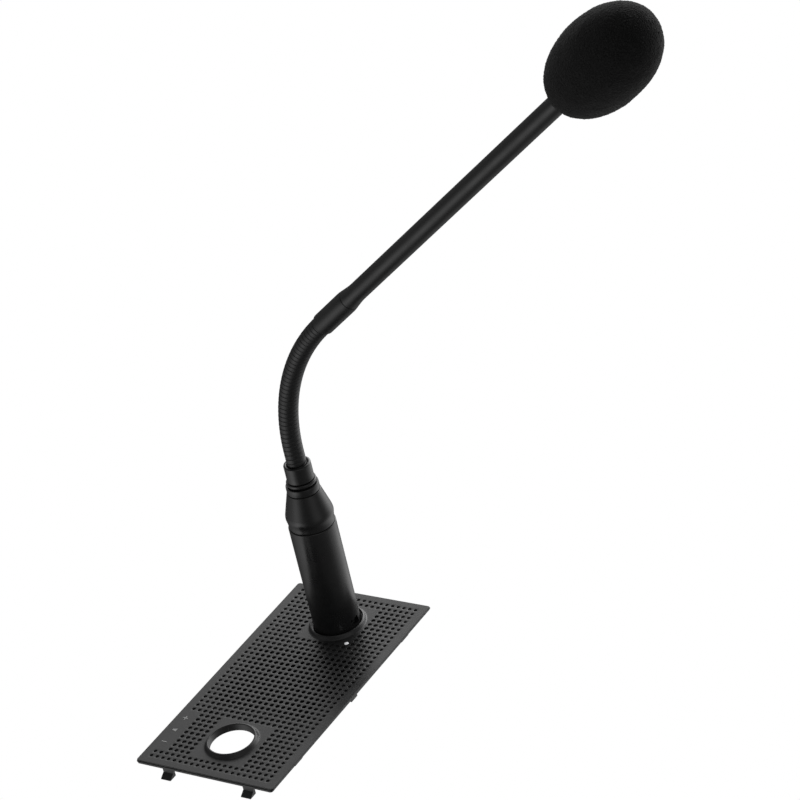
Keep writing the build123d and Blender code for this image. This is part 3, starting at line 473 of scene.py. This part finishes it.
def mic_ring_outline():
    """From the panel's face over the ring to the underside of the opening."""
    top = PANEL_TOP + RING_HEIGHT
    ledge = PANEL_TOP + LEDGE_HEIGHT
    return [
        (12.35, PANEL_TOP, 0), (11.7, PANEL_TOP + 0.03, 0.9), (11.1, top - 0.3, 0.35),
        (10.8, top, 0.2), (10.45, top, 0.16), (10.42, ledge, 0.06),
        (9.95, ledge, 0.06), (9.75, ledge - 0.2, 0.05), (9.75, 0, 0),
    ]


def knob_ring_outline():
    top = PANEL_TOP + RING_HEIGHT
    return [
        (11.4, PANEL_TOP, 0), (10.7, PANEL_TOP + 0.03, 0.9), (9.95, top - 0.3, 0.35),
        (9.6, top, 0.2), (8.95, top, 0.5), (8.95, 0, 0),
    ]


def add_ring(shell, centre_x, outline):
    """Turns an open ring outline; returns its outer loop on the face and its lower loop."""
    rings = [circle(r, z, RING_SIDES, centre_x) for r, z in rounded(outline)]
    shell.bands(rings)
    return rings[0], rings[-1]


def add_top(shell, top_loop, mic_loop, knob_loop, light_loop):
    columns = [k - (COLUMNS - 1) / 2 for k in range(COLUMNS)]
    rows = [k - (ROWS - 1) / 2 for k in range(ROWS)]
    for i in columns:
        for j in rows:
            if is_beside_ring(i, j):
                continue
            if is_beside_symbols(i, j):
                shell.face(around_cell(i, j, PANEL_TOP))
            else:
                add_hole(shell, i, j)
    whole = cell_border((columns[0], columns[-1]), (rows[0], rows[-1]), PANEL_TOP)
    shell.flat(top_loop, [whole])
    for side, holes in ((1, [mic_loop, light_loop]), (-1, [knob_loop])):
        cells = (side * RING_CELL - CLEAR, side * RING_CELL + CLEAR)
        shell.flat(cell_border(cells, (-CLEAR, CLEAR), PANEL_TOP), holes)


def add_fixings(shell):
    """Snap hooks on the short sides and locating tabs on the long ones."""
    stem = -(PANEL_LENGTH / 2 - HOOK_INSET)
    hook = prism([
        (stem, ROOT_Z),
        (stem + HOOK_THICK, ROOT_Z),
        (stem + HOOK_THICK, -HOOK_DEPTH),
        (stem - HOOK_REACH - HOOK_TIP_LEAN, -HOOK_DEPTH),
        (stem - HOOK_REACH, -HOOK_DEPTH + HOOK_TIP),
        (stem, -HOOK_NECK),
    ], HOOK_WIDTH / 2, HOOK_BEVEL)
    for y in HOOK_Y:
        shell.add(hook, Matrix.Translation((0, y, 0)))
        shell.add(hook, Matrix.Translation((0, y, 0)) @ Matrix.Scale(-1, 4, (1, 0, 0)))
    outer = PANEL_WIDTH / 2 - TAB_INSET
    for x, width, depth in TABS:
        tab = prism([
            (outer, ROOT_Z),
            (outer - TAB_THICK, ROOT_Z),
            (outer - TAB_THICK, -depth),
            (outer - TAB_SLOPE, -depth),
            (outer, -depth + TAB_SLOPE),
        ], width / 2, TAB_BEVEL)
        for turn in (-90, 90):
            shell.add(tab, Matrix.Translation((x, 0, 0)) @ Matrix.Rotation(radians(turn), 4, "Z"))


def hanging_tube(bore, radius, bottom):
    """Short tube under the panel with a bevelled lower end."""
    return turned([
        (bore, INSIDE_Z),
        (radius, INSIDE_Z),
        (radius, bottom + RIM_EASE),
        (radius - RIM_EASE, bottom),
        (bore, bottom),
    ], LIGHT_SIDES)


def cover_panel():
    shell = Shell()
    top_loop, bottom_loop = panel_edge(shell)
    mic_loop, mic_low = add_ring(shell, RING_CELL * PITCH, mic_ring_outline())
    knob_loop, knob_low = add_ring(shell, -RING_CELL * PITCH, knob_ring_outline())
    light_x, light_y = LIGHT_CELL[0] * PITCH, LIGHT_CELL[1] * PITCH
    light = [circle(LIGHT_HOLE_R, z, LIGHT_SIDES, light_x, light_y) for z in (PANEL_TOP, 0)]
    shell.band(*light)
    add_top(shell, top_loop, mic_loop, knob_loop, light[0])
    field = cell_border((-THROUGH_X, THROUGH_X), (-THROUGH_Y, THROUGH_Y), 0.0)
    shell.flat(bottom_loop, [field, mic_low, knob_low, light[1]])
    add_fixings(shell)
    boss = hanging_tube(BOSS_HOLE_R, BOSS_R, BOSS_BOTTOM)
    for side in (-1, 1):
        shell.add(boss, Matrix.Translation((MIC_X + side * BOSS_REACH, 0, 0)))
    guide = hanging_tube(LIGHT_HOLE_R, GUIDE_R, GUIDE_BOTTOM)
    shell.add(guide, Matrix.Translation((light_x, light_y, 0)))
    return make_object("perforated_cover_panel", shell)


# ---------------------------------------------------------------- turned metal pieces
# Outlines are (radius, height, rounding); heights are above the panel's underside, or
# along the head from the end of the bend.

def barrel():
    low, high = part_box("plug_barrel")
    radius = (high.x - low.x) / 2 / MM
    bottom, top = low.z / MM, high.z / MM
    outline = rounded([
        (8.0, bottom + 0.3, 0.2), (8.3, bottom, 0.1), (radius - 0.35, bottom, 0.15),
        (radius, bottom + 0.4, 0.3), (radius, top - 0.22, 0.16),
        (radius - 0.2, top, 0.08), (8.0, top, 0.1),
    ])
    obj = make_object("lacquered_plug_barrel", turned(outline), AT_MIC)
    cut_window(obj, radius)
    return obj


def cut_window(obj, radius):
    """Round-cornered window low in the barrel, centred on the screw behind it."""
    low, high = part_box("insert_screw")
    centre = (low + high) / 2 / MM
    turn = atan2(centre.x - MIC_X, -centre.y)
    corner = WINDOW_CORNER
    outline = []
    for quarter, (sx, sz) in enumerate(((1, 1), (-1, 1), (-1, -1), (1, -1))):
        for k in range(CORNER_QUARTER_STEPS + 1):
            angle = pi / 2 * (quarter + k / CORNER_QUARTER_STEPS)
            outline.append((sx * (WINDOW_WIDTH / 2 - corner) + corner * cos(angle),
                            sz * (WINDOW_HEIGHT / 2 - corner) + corner * sin(angle)))
    cutter = make_object("window_cutter", prism(outline, WINDOW_HALF_DEPTH, CUT_FINE),
                         AT_MIC @ Matrix.Rotation(turn, 4, "Z")
                         @ Matrix.Translation((0, -radius, centre.z)))
    cut = obj.modifiers.new("window", "BOOLEAN")
    cut.operation = "DIFFERENCE"
    cut.object = cutter
    obj.modifiers.move(1, 0)
    bpy.context.view_layer.update()
    graph = bpy.context.evaluated_depsgraph_get()
    obj.modifiers["even_normals"].show_viewport = False
    bpy.context.view_layer.update()
    mesh = bpy.data.meshes.new_from_object(obj.evaluated_get(graph))
    obj.modifiers.remove(cut)
    obj.modifiers["even_normals"].show_viewport = True
    obj.data = mesh
    mesh.set_sharp_from_angle(angle=SHARP)
    bpy.data.objects.remove(cutter)


def coupling_cone():
    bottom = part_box("plug_barrel")[1].z / MM + 0.25
    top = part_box("coupling_cone")[1].z / MM
    outline = rounded([
        (PRESSED_BORE_R, bottom - 8.5, 0.1), (7.93, bottom - 8.5, 0.2), (7.93, bottom, 0.05),
        (9.18, bottom, 0.12), (9.2, bottom + 2.0, 1.6), (9.64, bottom + 4.0, 1.2),
        (9.5, bottom + 5.4, 0.8), (6.74, top - 0.05, 0.16), (6.5, top, 0.08),
        (PRESSED_BORE_R, top, 0.05),
    ])
    return make_object("coupling_cone_shell", turned(outline), AT_MIC)


def turned_ring(name, node, edge, crown):
    """Rounded ring filling a CAD ring's box; crown swells the middle."""
    low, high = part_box(node)
    radius = (high.x - low.x) / 2 / MM
    bottom, top = low.z / MM, high.z / MM
    middle = (bottom + top) / 2
    outline = rounded([
        (PRESSED_BORE_R, bottom, 0.08), (radius - crown, bottom, edge),
        (radius, middle, 0.8 * edge), (radius - crown, top, edge), (PRESSED_BORE_R, top, 0.08),
    ])
    return make_object(name, turned(outline), AT_MIC)


def neck_collar():
    low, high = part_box("neck_collar")
    bottom, top = low.z / MM, high.z / MM
    outline = rounded([
        (PRESSED_BORE_R, bottom, 0.08), (5.5, bottom, 0.12), (5.42, bottom + 1.2, 0.4),
        (5.42, top - 0.3, 0.45), (4.9, top, 0.35), (4.3, top - 0.06, 0.3),
        (4.08, top - 0.5, 0.2), (4.08, top - 1.4, 0.1), (PRESSED_BORE_R, top - 1.4, 0.02),
    ])
    return make_object("neck_collar_shell", turned(outline), AT_MIC)


def stalk_sleeve():
    start, end, radius = along_head("stalk_sleeve")
    outline = rounded([
        (3.5, start, 0.1), (radius - 0.3, start, 0.15), (radius, start + 0.45, 0.3),
        (radius, end - 1.85, 0.8), (radius - 0.2, end - 0.03, 0.06), (3.5, end, 0.05),
    ])
    return make_object("stalk_sleeve_shell", turned(outline), ON_HEAD)


def stalk_tube():
    start, end, _ = along_head("stalk_tube")
    shoulder = along_head("stalk_sleeve")[1] + 0.15
    flare_end = shoulder + 4.7
    outline = rounded([
        (2.9, start, 0.05), (3.47, start, 0.1), (3.47, shoulder, 0.03),
        (4.17, shoulder, 0.06), (3.67, flare_end, 1.8), (3.67, end, 0.12), (2.9, end, 0.1),
    ], steps=6)
    return make_object("stalk_tube_shell", turned(outline), ON_HEAD)


def light_dome():
    low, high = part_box("indicator_light_pipe")
    centre = (low + high) / 2 / MM
    bottom, top = low.z / MM, high.z / MM
    outline = [(0.001, bottom), (1.3, bottom), (1.3, -2.5), (LIGHT_R, -2.5), (LIGHT_R, PANEL_TOP)]
    for turn in range(0, 91, 10):
        outline.append((max(LIGHT_R * cos(radians(turn)), 0.001),
                        PANEL_TOP + (top - PANEL_TOP) * sin(radians(turn))))
    return make_object("indicator_dome", turned(outline, 64),
                       Matrix.Translation((centre.x, centre.y, 0)))


# ---------------------------------------------------------------- hose

def rib_radius(distance, angle):
    """Radius of the spiral-wound hose: domed ribs with a narrow groove between turns."""
    phase = (distance / RIB_PITCH - angle / (2 * pi) + GROOVE_PHASE) % 1.0
    off_groove = min(phase, 1 - phase)
    dome = RIB_DOME * (1 - 2 * off_groove) ** 2
    groove = GROOVE_DEPTH * exp(-((off_groove / GROOVE_WIDTH) ** 2))
    return HOSE_CREST_R - dome - groove


def hose_piece(name, start, end, spigot_from=None):
    """One length of hose, closed at both ends, with its normals worked out from the
    spiral so that neighbouring lengths shade as one."""
    rows = max(2, round((end - start) / RIB_PITCH * STEPS_PER_RIB))
    points, normals, faces = [], [], []
    step = SLOPE_STEP
    for row in range(rows + 1):
        distance = start + (end - start) * row / rows
        place = hose_frame(distance)
        turn = place.to_3x3()
        for side in range(HOSE_SIDES):
            angle = 2 * pi * side / HOSE_SIDES
            radius = rib_radius(distance, angle)
            slope = (rib_radius(distance + step, angle)
                     - rib_radius(distance - step, angle)) / (2 * step)
            if spigot_from is not None and distance > spigot_from:
                radius, slope = HOSE_SPIGOT_R, 0.0
            points.append(place @ Vector((radius * cos(angle), radius * sin(angle), 0)))
            normals.append((turn @ Vector((cos(angle), sin(angle), -slope))).normalized())
    for distance in (end, start):
        place = hose_frame(distance)
        turn = place.to_3x3()
        for side in range(HOSE_SIDES):
            angle = 2 * pi * side / HOSE_SIDES
            out = Vector((cos(angle), sin(angle), 0))
            points.append(place @ (out * HOSE_BORE_R))
            normals.append(turn @ -out)
    loops = rows + 3
    for row in range(loops):
        above = (row + 1) % loops
        for side in range(HOSE_SIDES):
            ahead = (side + 1) % HOSE_SIDES
            faces.append((row * HOSE_SIDES + side, row * HOSE_SIDES + ahead,
                          above * HOSE_SIDES + ahead, above * HOSE_SIDES + side))
    mesh = bpy.data.meshes.new(name)
    mesh.from_pydata([p * MM for p in points], [], faces)
    mesh.shade_smooth()
    mesh.normals_split_custom_set_from_vertices(normals)
    obj = bpy.data.objects.new(name, mesh)
    bpy.context.scene.collection.objects.link(obj)
    return obj


# ---------------------------------------------------------------- foam

def egg_point(turn, rear, centre, front, radius):
    """(radius, height) on the blunt egg, turn being measured from its front tip."""
    along = abs(cos(turn)) ** FOAM_BLUNT
    if cos(turn) > 0:
        return radius * sin(turn), centre + along * (front - centre)
    return radius * sin(turn), centre - along * (centre - rear)


def foam_grain(point):
    """How far the foam's torn skin stands off the smooth egg at a point."""
    lump = noise.noise(point / LUMP) * LUMP_DEPTH
    distances, _ = noise.voronoi(point / PORE)
    pore = (distances[1] - distances[0] - 0.35) * PORE_DEPTH
    fray = noise.noise(point / (0.4 * PORE)) * 0.35 * PORE_DEPTH
    return lump + pore + fray


def foam_windscreen():
    mouth_height, front, radius = along_head("foam_windscreen")
    tube_end = along_head("stalk_tube")[1]
    centre = front - FOAM_NOSE
    rear = front - FOAM_LENGTH
    rings = []
    for row in range(FOAM_RINGS + 1):
        turn = FOAM_MOUTH_TURN * max(row, 0.02) / FOAM_RINGS
        r, z = egg_point(turn, rear, centre, front, radius)
        ring = []
        for side in range(FOAM_SIDES):
            angle = 2 * pi * side / FOAM_SIDES
            out = Vector((cos(angle) * sin(turn), sin(angle) * sin(turn), cos(turn)))
            point = Vector((r * cos(angle), r * sin(angle), z))
            ring.append(point + out * foam_grain(point))
        rings.append(ring)
    mouth, cavity_r = FOAM_MOUTH_R, FOAM_CAVITY_R
    cavity_end = tube_end + FOAM_CAVITY_BEYOND
    cavity = [
        (mouth + 0.6, mouth_height - 0.25),
        (mouth + 0.2, mouth_height - 0.1),
        (mouth, mouth_height + 0.35),
        (mouth, tube_end - 3.0),
        (cavity_r, tube_end - 1.0),
        (cavity_r, cavity_end),
        (0.05, cavity_end),
    ]
    rings += [circle(r, z, FOAM_SIDES) for r, z in cavity]
    shell = Shell()
    shell.bands(rings)
    shell.face(rings[0])
    shell.face(rings[-1])
    return make_object("foam_ball_windscreen", shell, ON_HEAD)


# ---------------------------------------------------------------- procedural materials

class Look:
    """One procedural material: a Principled surface with helpers for the nodes behind it."""

    def __init__(self, name, colour, roughness, **inputs):
        self.material = bpy.data.materials.new(name)
        self.material.use_nodes = True
        self.nodes = self.material.node_tree.nodes
        self.links = self.material.node_tree.links
        self.shader = self.nodes["Principled BSDF"]
        self.place = self.nodes.new("ShaderNodeTexCoord").outputs["Object"]
        self.height = None
        self.set("Base Color", colour if not isinstance(colour, tuple) else (*colour, 1))
        self.set("Roughness", roughness)
        for name, value in inputs.items():
            self.set(name.replace("_", " "), value)

    def set(self, name, value):
        socket = self.shader.inputs[name]
        if isinstance(value, bpy.types.NodeSocket):
            self.links.new(value, socket)
        else:
            socket.default_value = value

    def noise(self, size, detail=2.0, stretch=(1, 1, 1)):
        """Noise value whose features are about size millimetres across."""
        scale = self.nodes.new("ShaderNodeMapping")
        scale.inputs["Scale"].default_value = [s / (size * MM) for s in stretch]
        self.links.new(self.place, scale.inputs["Vector"])
        pattern = self.nodes.new("ShaderNodeTexNoise")
        pattern.inputs["Scale"].default_value = 1.0
        pattern.inputs["Detail"].default_value = detail
        self.links.new(scale.outputs["Vector"], pattern.inputs["Vector"])
        return pattern.outputs["Fac"]

    def cells(self, size, feature="F1"):
        """Distance to the nearest of scattered points about size millimetres apart."""
        pattern = self.nodes.new("ShaderNodeTexVoronoi")
        pattern.feature = feature
        pattern.inputs["Scale"].default_value = 1 / (size * MM)
        self.links.new(self.place, pattern.inputs["Vector"])
        return pattern.outputs["Distance"]

    def weave(self, size):
        """Value of a fine over-and-under weave with threads size millimetres apart."""
        bands = []
        for axis in ("X", "Y"):
            wave = self.nodes.new("ShaderNodeTexWave")
            wave.bands_direction = axis
            wave.inputs["Scale"].default_value = 0.314 / (size * MM)
            self.links.new(self.place, wave.inputs["Vector"])
            bands.append(wave.outputs["Fac"])
        join = self.nodes.new("ShaderNodeMath")
        join.operation = "MULTIPLY"
        for socket, band in zip(join.inputs, bands):
            self.links.new(band, socket)
        return join.outputs["Value"]

    def spread(self, value, low, high, start=0.3, end=0.7):
        """Value mapped from start..end to low..high."""
        change = self.nodes.new("ShaderNodeMapRange")
        for name, number in (("From Min", start), ("From Max", end),
                             ("To Min", low), ("To Max", high)):
            change.inputs[name].default_value = number
        self.links.new(value, change.inputs["Value"])
        return change.outputs["Result"]

    def blend_colours(self, value, low, high):
        ramp = self.nodes.new("ShaderNodeMix")
        ramp.data_type = "RGBA"
        ramp.inputs["A"].default_value = (*low, 1)
        ramp.inputs["B"].default_value = (*high, 1)
        self.links.new(value, ramp.inputs["Factor"])
        return ramp.outputs["Result"]

    def bump(self, value, depth, strength=1.0):
        """Adds a relief depth millimetres deep on top of any earlier one."""
        relief = self.nodes.new("ShaderNodeBump")
        relief.inputs["Distance"].default_value = depth * MM
        relief.inputs["Strength"].default_value = strength
        self.links.new(value, relief.inputs["Height"])
        if self.height is not None:
            self.links.new(self.height, relief.inputs["Normal"])
        self.height = relief.outputs["Normal"]
        self.set("Normal", self.height)


def handled(name, dark, light, rough_low, rough_high, grain, grain_depth, **inputs):
    """Surface with fine grain, faint handling marks in its gloss and slightly uneven colour."""
    look = Look(name, dark, rough_high, **inputs)
    marks = look.noise(9.0, 4.0)
    look.set("Roughness", look.spread(marks, rough_low, rough_high))
    tint = look.noise(2.4, 3.0)
    look.set("Base Color", look.blend_colours(look.spread(tint, 0, 1), dark, light))
    look.bump(look.noise(grain, 2.0), grain_depth)
    return look


def panel_plastic():
    look = handled("moulded_black_plastic", (0.017, 0.017, 0.0175), (0.022, 0.022, 0.0225),
                   0.33, 0.41, 0.35, 0.006)
    look.bump(look.cells(0.5), 0.002, 0.5)
    return look.material


def black_lacquer():
    return handled("satin_black_lacquer", (0.013, 0.013, 0.0133), (0.017, 0.017, 0.0173),
                   0.24, 0.34, 0.16, 0.0012).material


def tube_lacquer():
    look = handled("semi_gloss_black_tube", (0.010, 0.010, 0.0103), (0.013, 0.013, 0.0133),
                   0.36, 0.44, 0.2, 0.001)
    return look.material


def hose_coating():
    look = handled("black_coated_spiral", (0.010, 0.010, 0.0103), (0.015, 0.015, 0.0153),
                   0.36, 0.46, 0.22, 0.0015)
    return look.material


def foam_material():
    look = Look("open_cell_foam", (0.01, 0.01, 0.01), 1.0, Specular_IOR_Level=0.12,
                Sheen_Weight=0.15, Sheen_Roughness=0.5)
    look.set("Sheen Tint", (0.8, 0.8, 0.8, 1))
    # Base colour is darkest at the centre of each cell, where the bump below sinks a pore: painted
    # shade in the pores.
    pore_shade = look.spread(look.cells(0.45), 0, 1, 0.05, 0.75)
    look.set("Base Color", look.blend_colours(pore_shade, (0.003, 0.003, 0.003), (0.016, 0.016, 0.016)))
    look.bump(look.cells(0.45), 0.12)
    look.bump(look.noise(0.25, 3.0), 0.05)
    return look.material


def white_ink():
    look = handled("pad_printed_ink", (0.36, 0.36, 0.36), (0.44, 0.44, 0.44),
                   0.5, 0.65, 0.2, 0.004)
    return look.material


def light_pipe():
    look = handled("diffusing_acrylic", (0.85, 0.86, 0.88), (0.93, 0.93, 0.94),
                   0.3, 0.4, 0.3, 0.002)
    look.set("Emission Color", (0.95, 0.97, 1.0, 1))
    look.set("Emission Strength", 0.25)
    return look.material


def bare_metal(name, dark, light, rough_low, rough_high):
    look = handled(name, dark, light, rough_low, rough_high, 0.15, 0.001, Metallic=1.0)
    look.bump(look.noise(0.08, 2.0, stretch=(0.2, 0.2, 1)), 0.001, 0.6)
    return look.material


def blackened_steel():
    return handled("blackened_steel", (0.02, 0.02, 0.02), (0.035, 0.035, 0.035),
                   0.35, 0.5, 0.15, 0.001, Metallic=0.6).material


def dark_plastic():
    return handled("semi_matt_black_plastic", (0.014, 0.014, 0.015), (0.022, 0.022, 0.023),
                   0.4, 0.52, 0.3, 0.004).material


def solder_mask():
    look = handled("green_solder_mask", (0.012, 0.09, 0.035), (0.02, 0.13, 0.05),
                   0.25, 0.38, 0.8, 0.008)
    look.bump(look.weave(0.9), 0.01, 0.4)
    return look.material


def soft_rubber(name):
    look = handled(name, (0.010, 0.010, 0.010), (0.018, 0.018, 0.018), 0.55, 0.72, 0.25, 0.005)
    return look.material


def acoustic_cloth():
    look = Look("woven_acoustic_cloth", (0.006, 0.006, 0.006), 0.95, Specular_IOR_Level=0.1,
                Sheen_Weight=0.1)
    threads = look.weave(0.25)
    # Colour is darker where the weave is low, between the raised threads of the bump: painted
    # shade in the gaps of the weave.
    dark, light = (0.002, 0.002, 0.002), (0.009, 0.009, 0.009)
    look.set("Base Color", look.blend_colours(threads, dark, light))
    look.bump(threads, 0.05)
    return look.material


LOOKS = {
    "panel_plastic": panel_plastic(),
    "black_cloth": acoustic_cloth(),
    "white_ink": white_ink(),
    "light_pipe": light_pipe(),
    "led_body": handled("lamp_package", (0.70, 0.68, 0.55), (0.80, 0.78, 0.66),
                        0.3, 0.45, 0.3, 0.003).material,
    "black_plastic": dark_plastic(),
    "contact_silver": bare_metal("plated_contact", (0.72, 0.71, 0.67), (0.80, 0.79, 0.75),
                                 0.18, 0.32),
    "screw_steel": bare_metal("zinc_plated_steel", (0.42, 0.42, 0.43), (0.52, 0.52, 0.53),
                              0.28, 0.42),
    "board_green": solder_mask(),
    "black_metal": black_lacquer(),
    "hose_metal": hose_coating(),
    "cable_jacket": soft_rubber("cable_jacket_rubber"),
    "capsule_metal": bare_metal("turned_aluminium", (0.60, 0.60, 0.59), (0.70, 0.70, 0.69),
                                0.25, 0.4),
    "boot_rubber": soft_rubber("soft_boot_rubber"),
    "foam": foam_material(),
}


def dress_cad_nodes():
    for node, obj in frame["nodes"].items():
        slot = SLOT_OF[node]
        obj.data.materials.clear()
        obj.data.materials.append(LOOKS[slot])


def dress(obj, nodes, material=None):
    """Gives a piece the look of the CAD nodes it stands for, and hides those nodes."""
    slot = SLOT_OF[nodes[0]]
    obj.data.materials.clear()
    obj.data.materials.append(material or LOOKS[slot])
    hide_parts(*nodes)
    return obj


# ---------------------------------------------------------------- assembly

def body_of_node(node):
    return frame["nodes"][node]["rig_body"]


def stand_for(obj, *nodes, material=None):
    dress(obj, nodes, material)
    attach(obj, body_of_node(nodes[0]))


def add_hose():
    """Root on the plug, one length of the bend per hinge, and a tip held in the sleeve."""
    piece = BEND_LENGTH / len(HINGES)
    root_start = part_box("gooseneck_root")[0].z / MM - BEND_START
    stand_for(hose_piece("hose_root", root_start, 0.0), "gooseneck_root")
    for k, (lower, upper) in enumerate(zip(BODIES, BODIES[1:]), start=1):
        start, end = (k - 1) * piece, k * piece
        obj = hose_piece(f"hose_length_{k}", start, end)
        node = f"gooseneck_link_{k}" if k < len(HINGES) else None
        if node:
            dress(obj, [node])
        else:
            obj.data.materials.append(LOOKS["hose_metal"])
        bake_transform(obj)
    sleeve_start = along_head("stalk_sleeve")[0]
    tip_end = along_head("gooseneck_tip")[1]
    tip = hose_piece("hose_tip", BEND_LENGTH, BEND_LENGTH + tip_end,
                     spigot_from=BEND_LENGTH + sleeve_start - 0.02)
    stand_for(tip, "gooseneck_tip")


dress_cad_nodes()
stand_for(cover_panel(), "cover_panel")
stand_for(barrel(), "plug_barrel")
stand_for(coupling_cone(), "coupling_cone")
stand_for(turned_ring("clamp_ring_shell", "clamp_ring", 0.25, crown=0.05), "clamp_ring")
stand_for(turned_ring("bead_ring_shell", "bead_ring", 0.32, crown=0.12), "bead_ring")
stand_for(neck_collar(), "neck_collar")
stand_for(light_dome(), "indicator_light_pipe")
add_hose()
frame["nodes"]["insert_screw"].data.materials[0] = blackened_steel()
stand_for(stalk_sleeve(), "stalk_sleeve", material=tube_lacquer())
stand_for(stalk_tube(), "stalk_tube", material=bpy.data.materials["semi_gloss_black_tube"])
stand_for(foam_windscreen(), "foam_windscreen")

# ---------------------------------------------------------------- studio

FLOOR_Z = -0.030
FLOOR_HALF = 30.0
FLOOR_WHITE = 1.0


def make_floor():
    """Pale floor that only the camera sees, so that it throws no colour on the object."""
    mesh = bpy.data.meshes.new("studio_floor")
    h = FLOOR_HALF
    mesh.from_pydata([(-h, -h, FLOOR_Z), (h, -h, FLOOR_Z), (h, h, FLOOR_Z), (-h, h, FLOOR_Z)],
                     [], [(0, 1, 2, 3)])
    floor = bpy.data.objects.new("studio_floor", mesh)
    bpy.context.scene.collection.objects.link(floor)
    material = bpy.data.materials.new("pale_floor")
    material.use_nodes = True
    nodes = material.node_tree.nodes
    nodes.clear()
    glow = nodes.new("ShaderNodeEmission")
    glow.inputs["Color"].default_value = (1, 1, 1, 1)
    glow.inputs["Strength"].default_value = FLOOR_WHITE
    out = nodes.new("ShaderNodeOutputMaterial")
    material.node_tree.links.new(glow.outputs["Emission"], out.inputs["Surface"])
    mesh.materials.append(material)
    for ray in ("diffuse", "glossy", "transmission", "volume_scatter", "shadow"):
        setattr(floor, f"visible_{ray}", False)


def direction(azimuth, elevation):
    a, e = radians(azimuth), radians(elevation)
    return Vector((cos(a) * cos(e), sin(a) * cos(e), sin(e)))


# Soft lights as (azimuth, elevation, brightness); azimuth is in degrees from +X toward +Y.
SOFT_LIGHTS = (
    (8, 20, 7.0),
    (-25, 10, 3.5),
    (40, 30, 0.6),
    (95, 25, 0.3),
    (-15, -30, 1.2),
    (-50, -40, 0.8),
    (-110, 5, 0.6),
    (-140, 50, 0.6),
    (155, -20, 2.0),
    (120, -30, 0.5),
    (25, -80, 0.4),
)
AMBIENT = 0.11
SHARPNESS = 14                # how quickly each light fades away from its centre


def make_world():
    """Soft lights placed by direction round the object; the camera itself sees plain white."""
    world = bpy.data.worlds.new("soft_studio")
    bpy.context.scene.world = world
    world.use_nodes = True
    nodes, links = world.node_tree.nodes, world.node_tree.links
    nodes.clear()

    def math(operation, *values):
        node = nodes.new("ShaderNodeMath")
        node.operation = operation
        for socket, value in zip(node.inputs, values):
            if isinstance(value, bpy.types.NodeSocket):
                links.new(value, socket)
            else:
                socket.default_value = value
        return node.outputs["Value"]

    look = nodes.new("ShaderNodeTexCoord").outputs["Generated"]
    total = AMBIENT
    for azimuth, elevation, brightness in SOFT_LIGHTS:
        toward = nodes.new("ShaderNodeVectorMath")
        toward.operation = "DOT_PRODUCT"
        links.new(look, toward.inputs[0])
        toward.inputs[1].default_value = direction(azimuth, elevation)
        off = math("SUBTRACT", toward.outputs["Value"], 1.0)
        glow = math("EXPONENT", math("MULTIPLY", off, SHARPNESS))
        total = math("MULTIPLY_ADD", glow, brightness, total)
    camera_ray = nodes.new("ShaderNodeLightPath").outputs["Is Camera Ray"]
    total = math("MAXIMUM", total, camera_ray)
    background = nodes.new("ShaderNodeBackground")
    links.new(total, background.inputs["Strength"])
    out = nodes.new("ShaderNodeOutputWorld")
    links.new(background.outputs["Background"], out.inputs["Surface"])


CAMERA_AT = (-0.7589, -0.6650, 0.7015)
CAMERA_RIGHT = Vector((0.5001, -0.8435, -0.1958))
CAMERA_UP = Vector((0.5282, 0.1179, 0.8409))
LENS = 141.4
SENSOR = 36.0


def make_camera():
    data = bpy.data.cameras.new("camera")
    data.lens = LENS
    data.sensor_width = SENSOR
    data.clip_end = 100
    camera = bpy.data.objects.new("camera", data)
    bpy.context.scene.collection.objects.link(camera)
    right = CAMERA_RIGHT.normalized()
    back = right.cross(CAMERA_UP).normalized()
    up = back.cross(right)
    turn = Matrix((right, up, back)).transposed().to_4x4()
    camera.matrix_world = Matrix.Translation(CAMERA_AT) @ turn
    bpy.context.scene.camera = camera


make_floor()
make_world()
make_camera()
bpy.context.scene.view_settings.view_transform = "Standard"
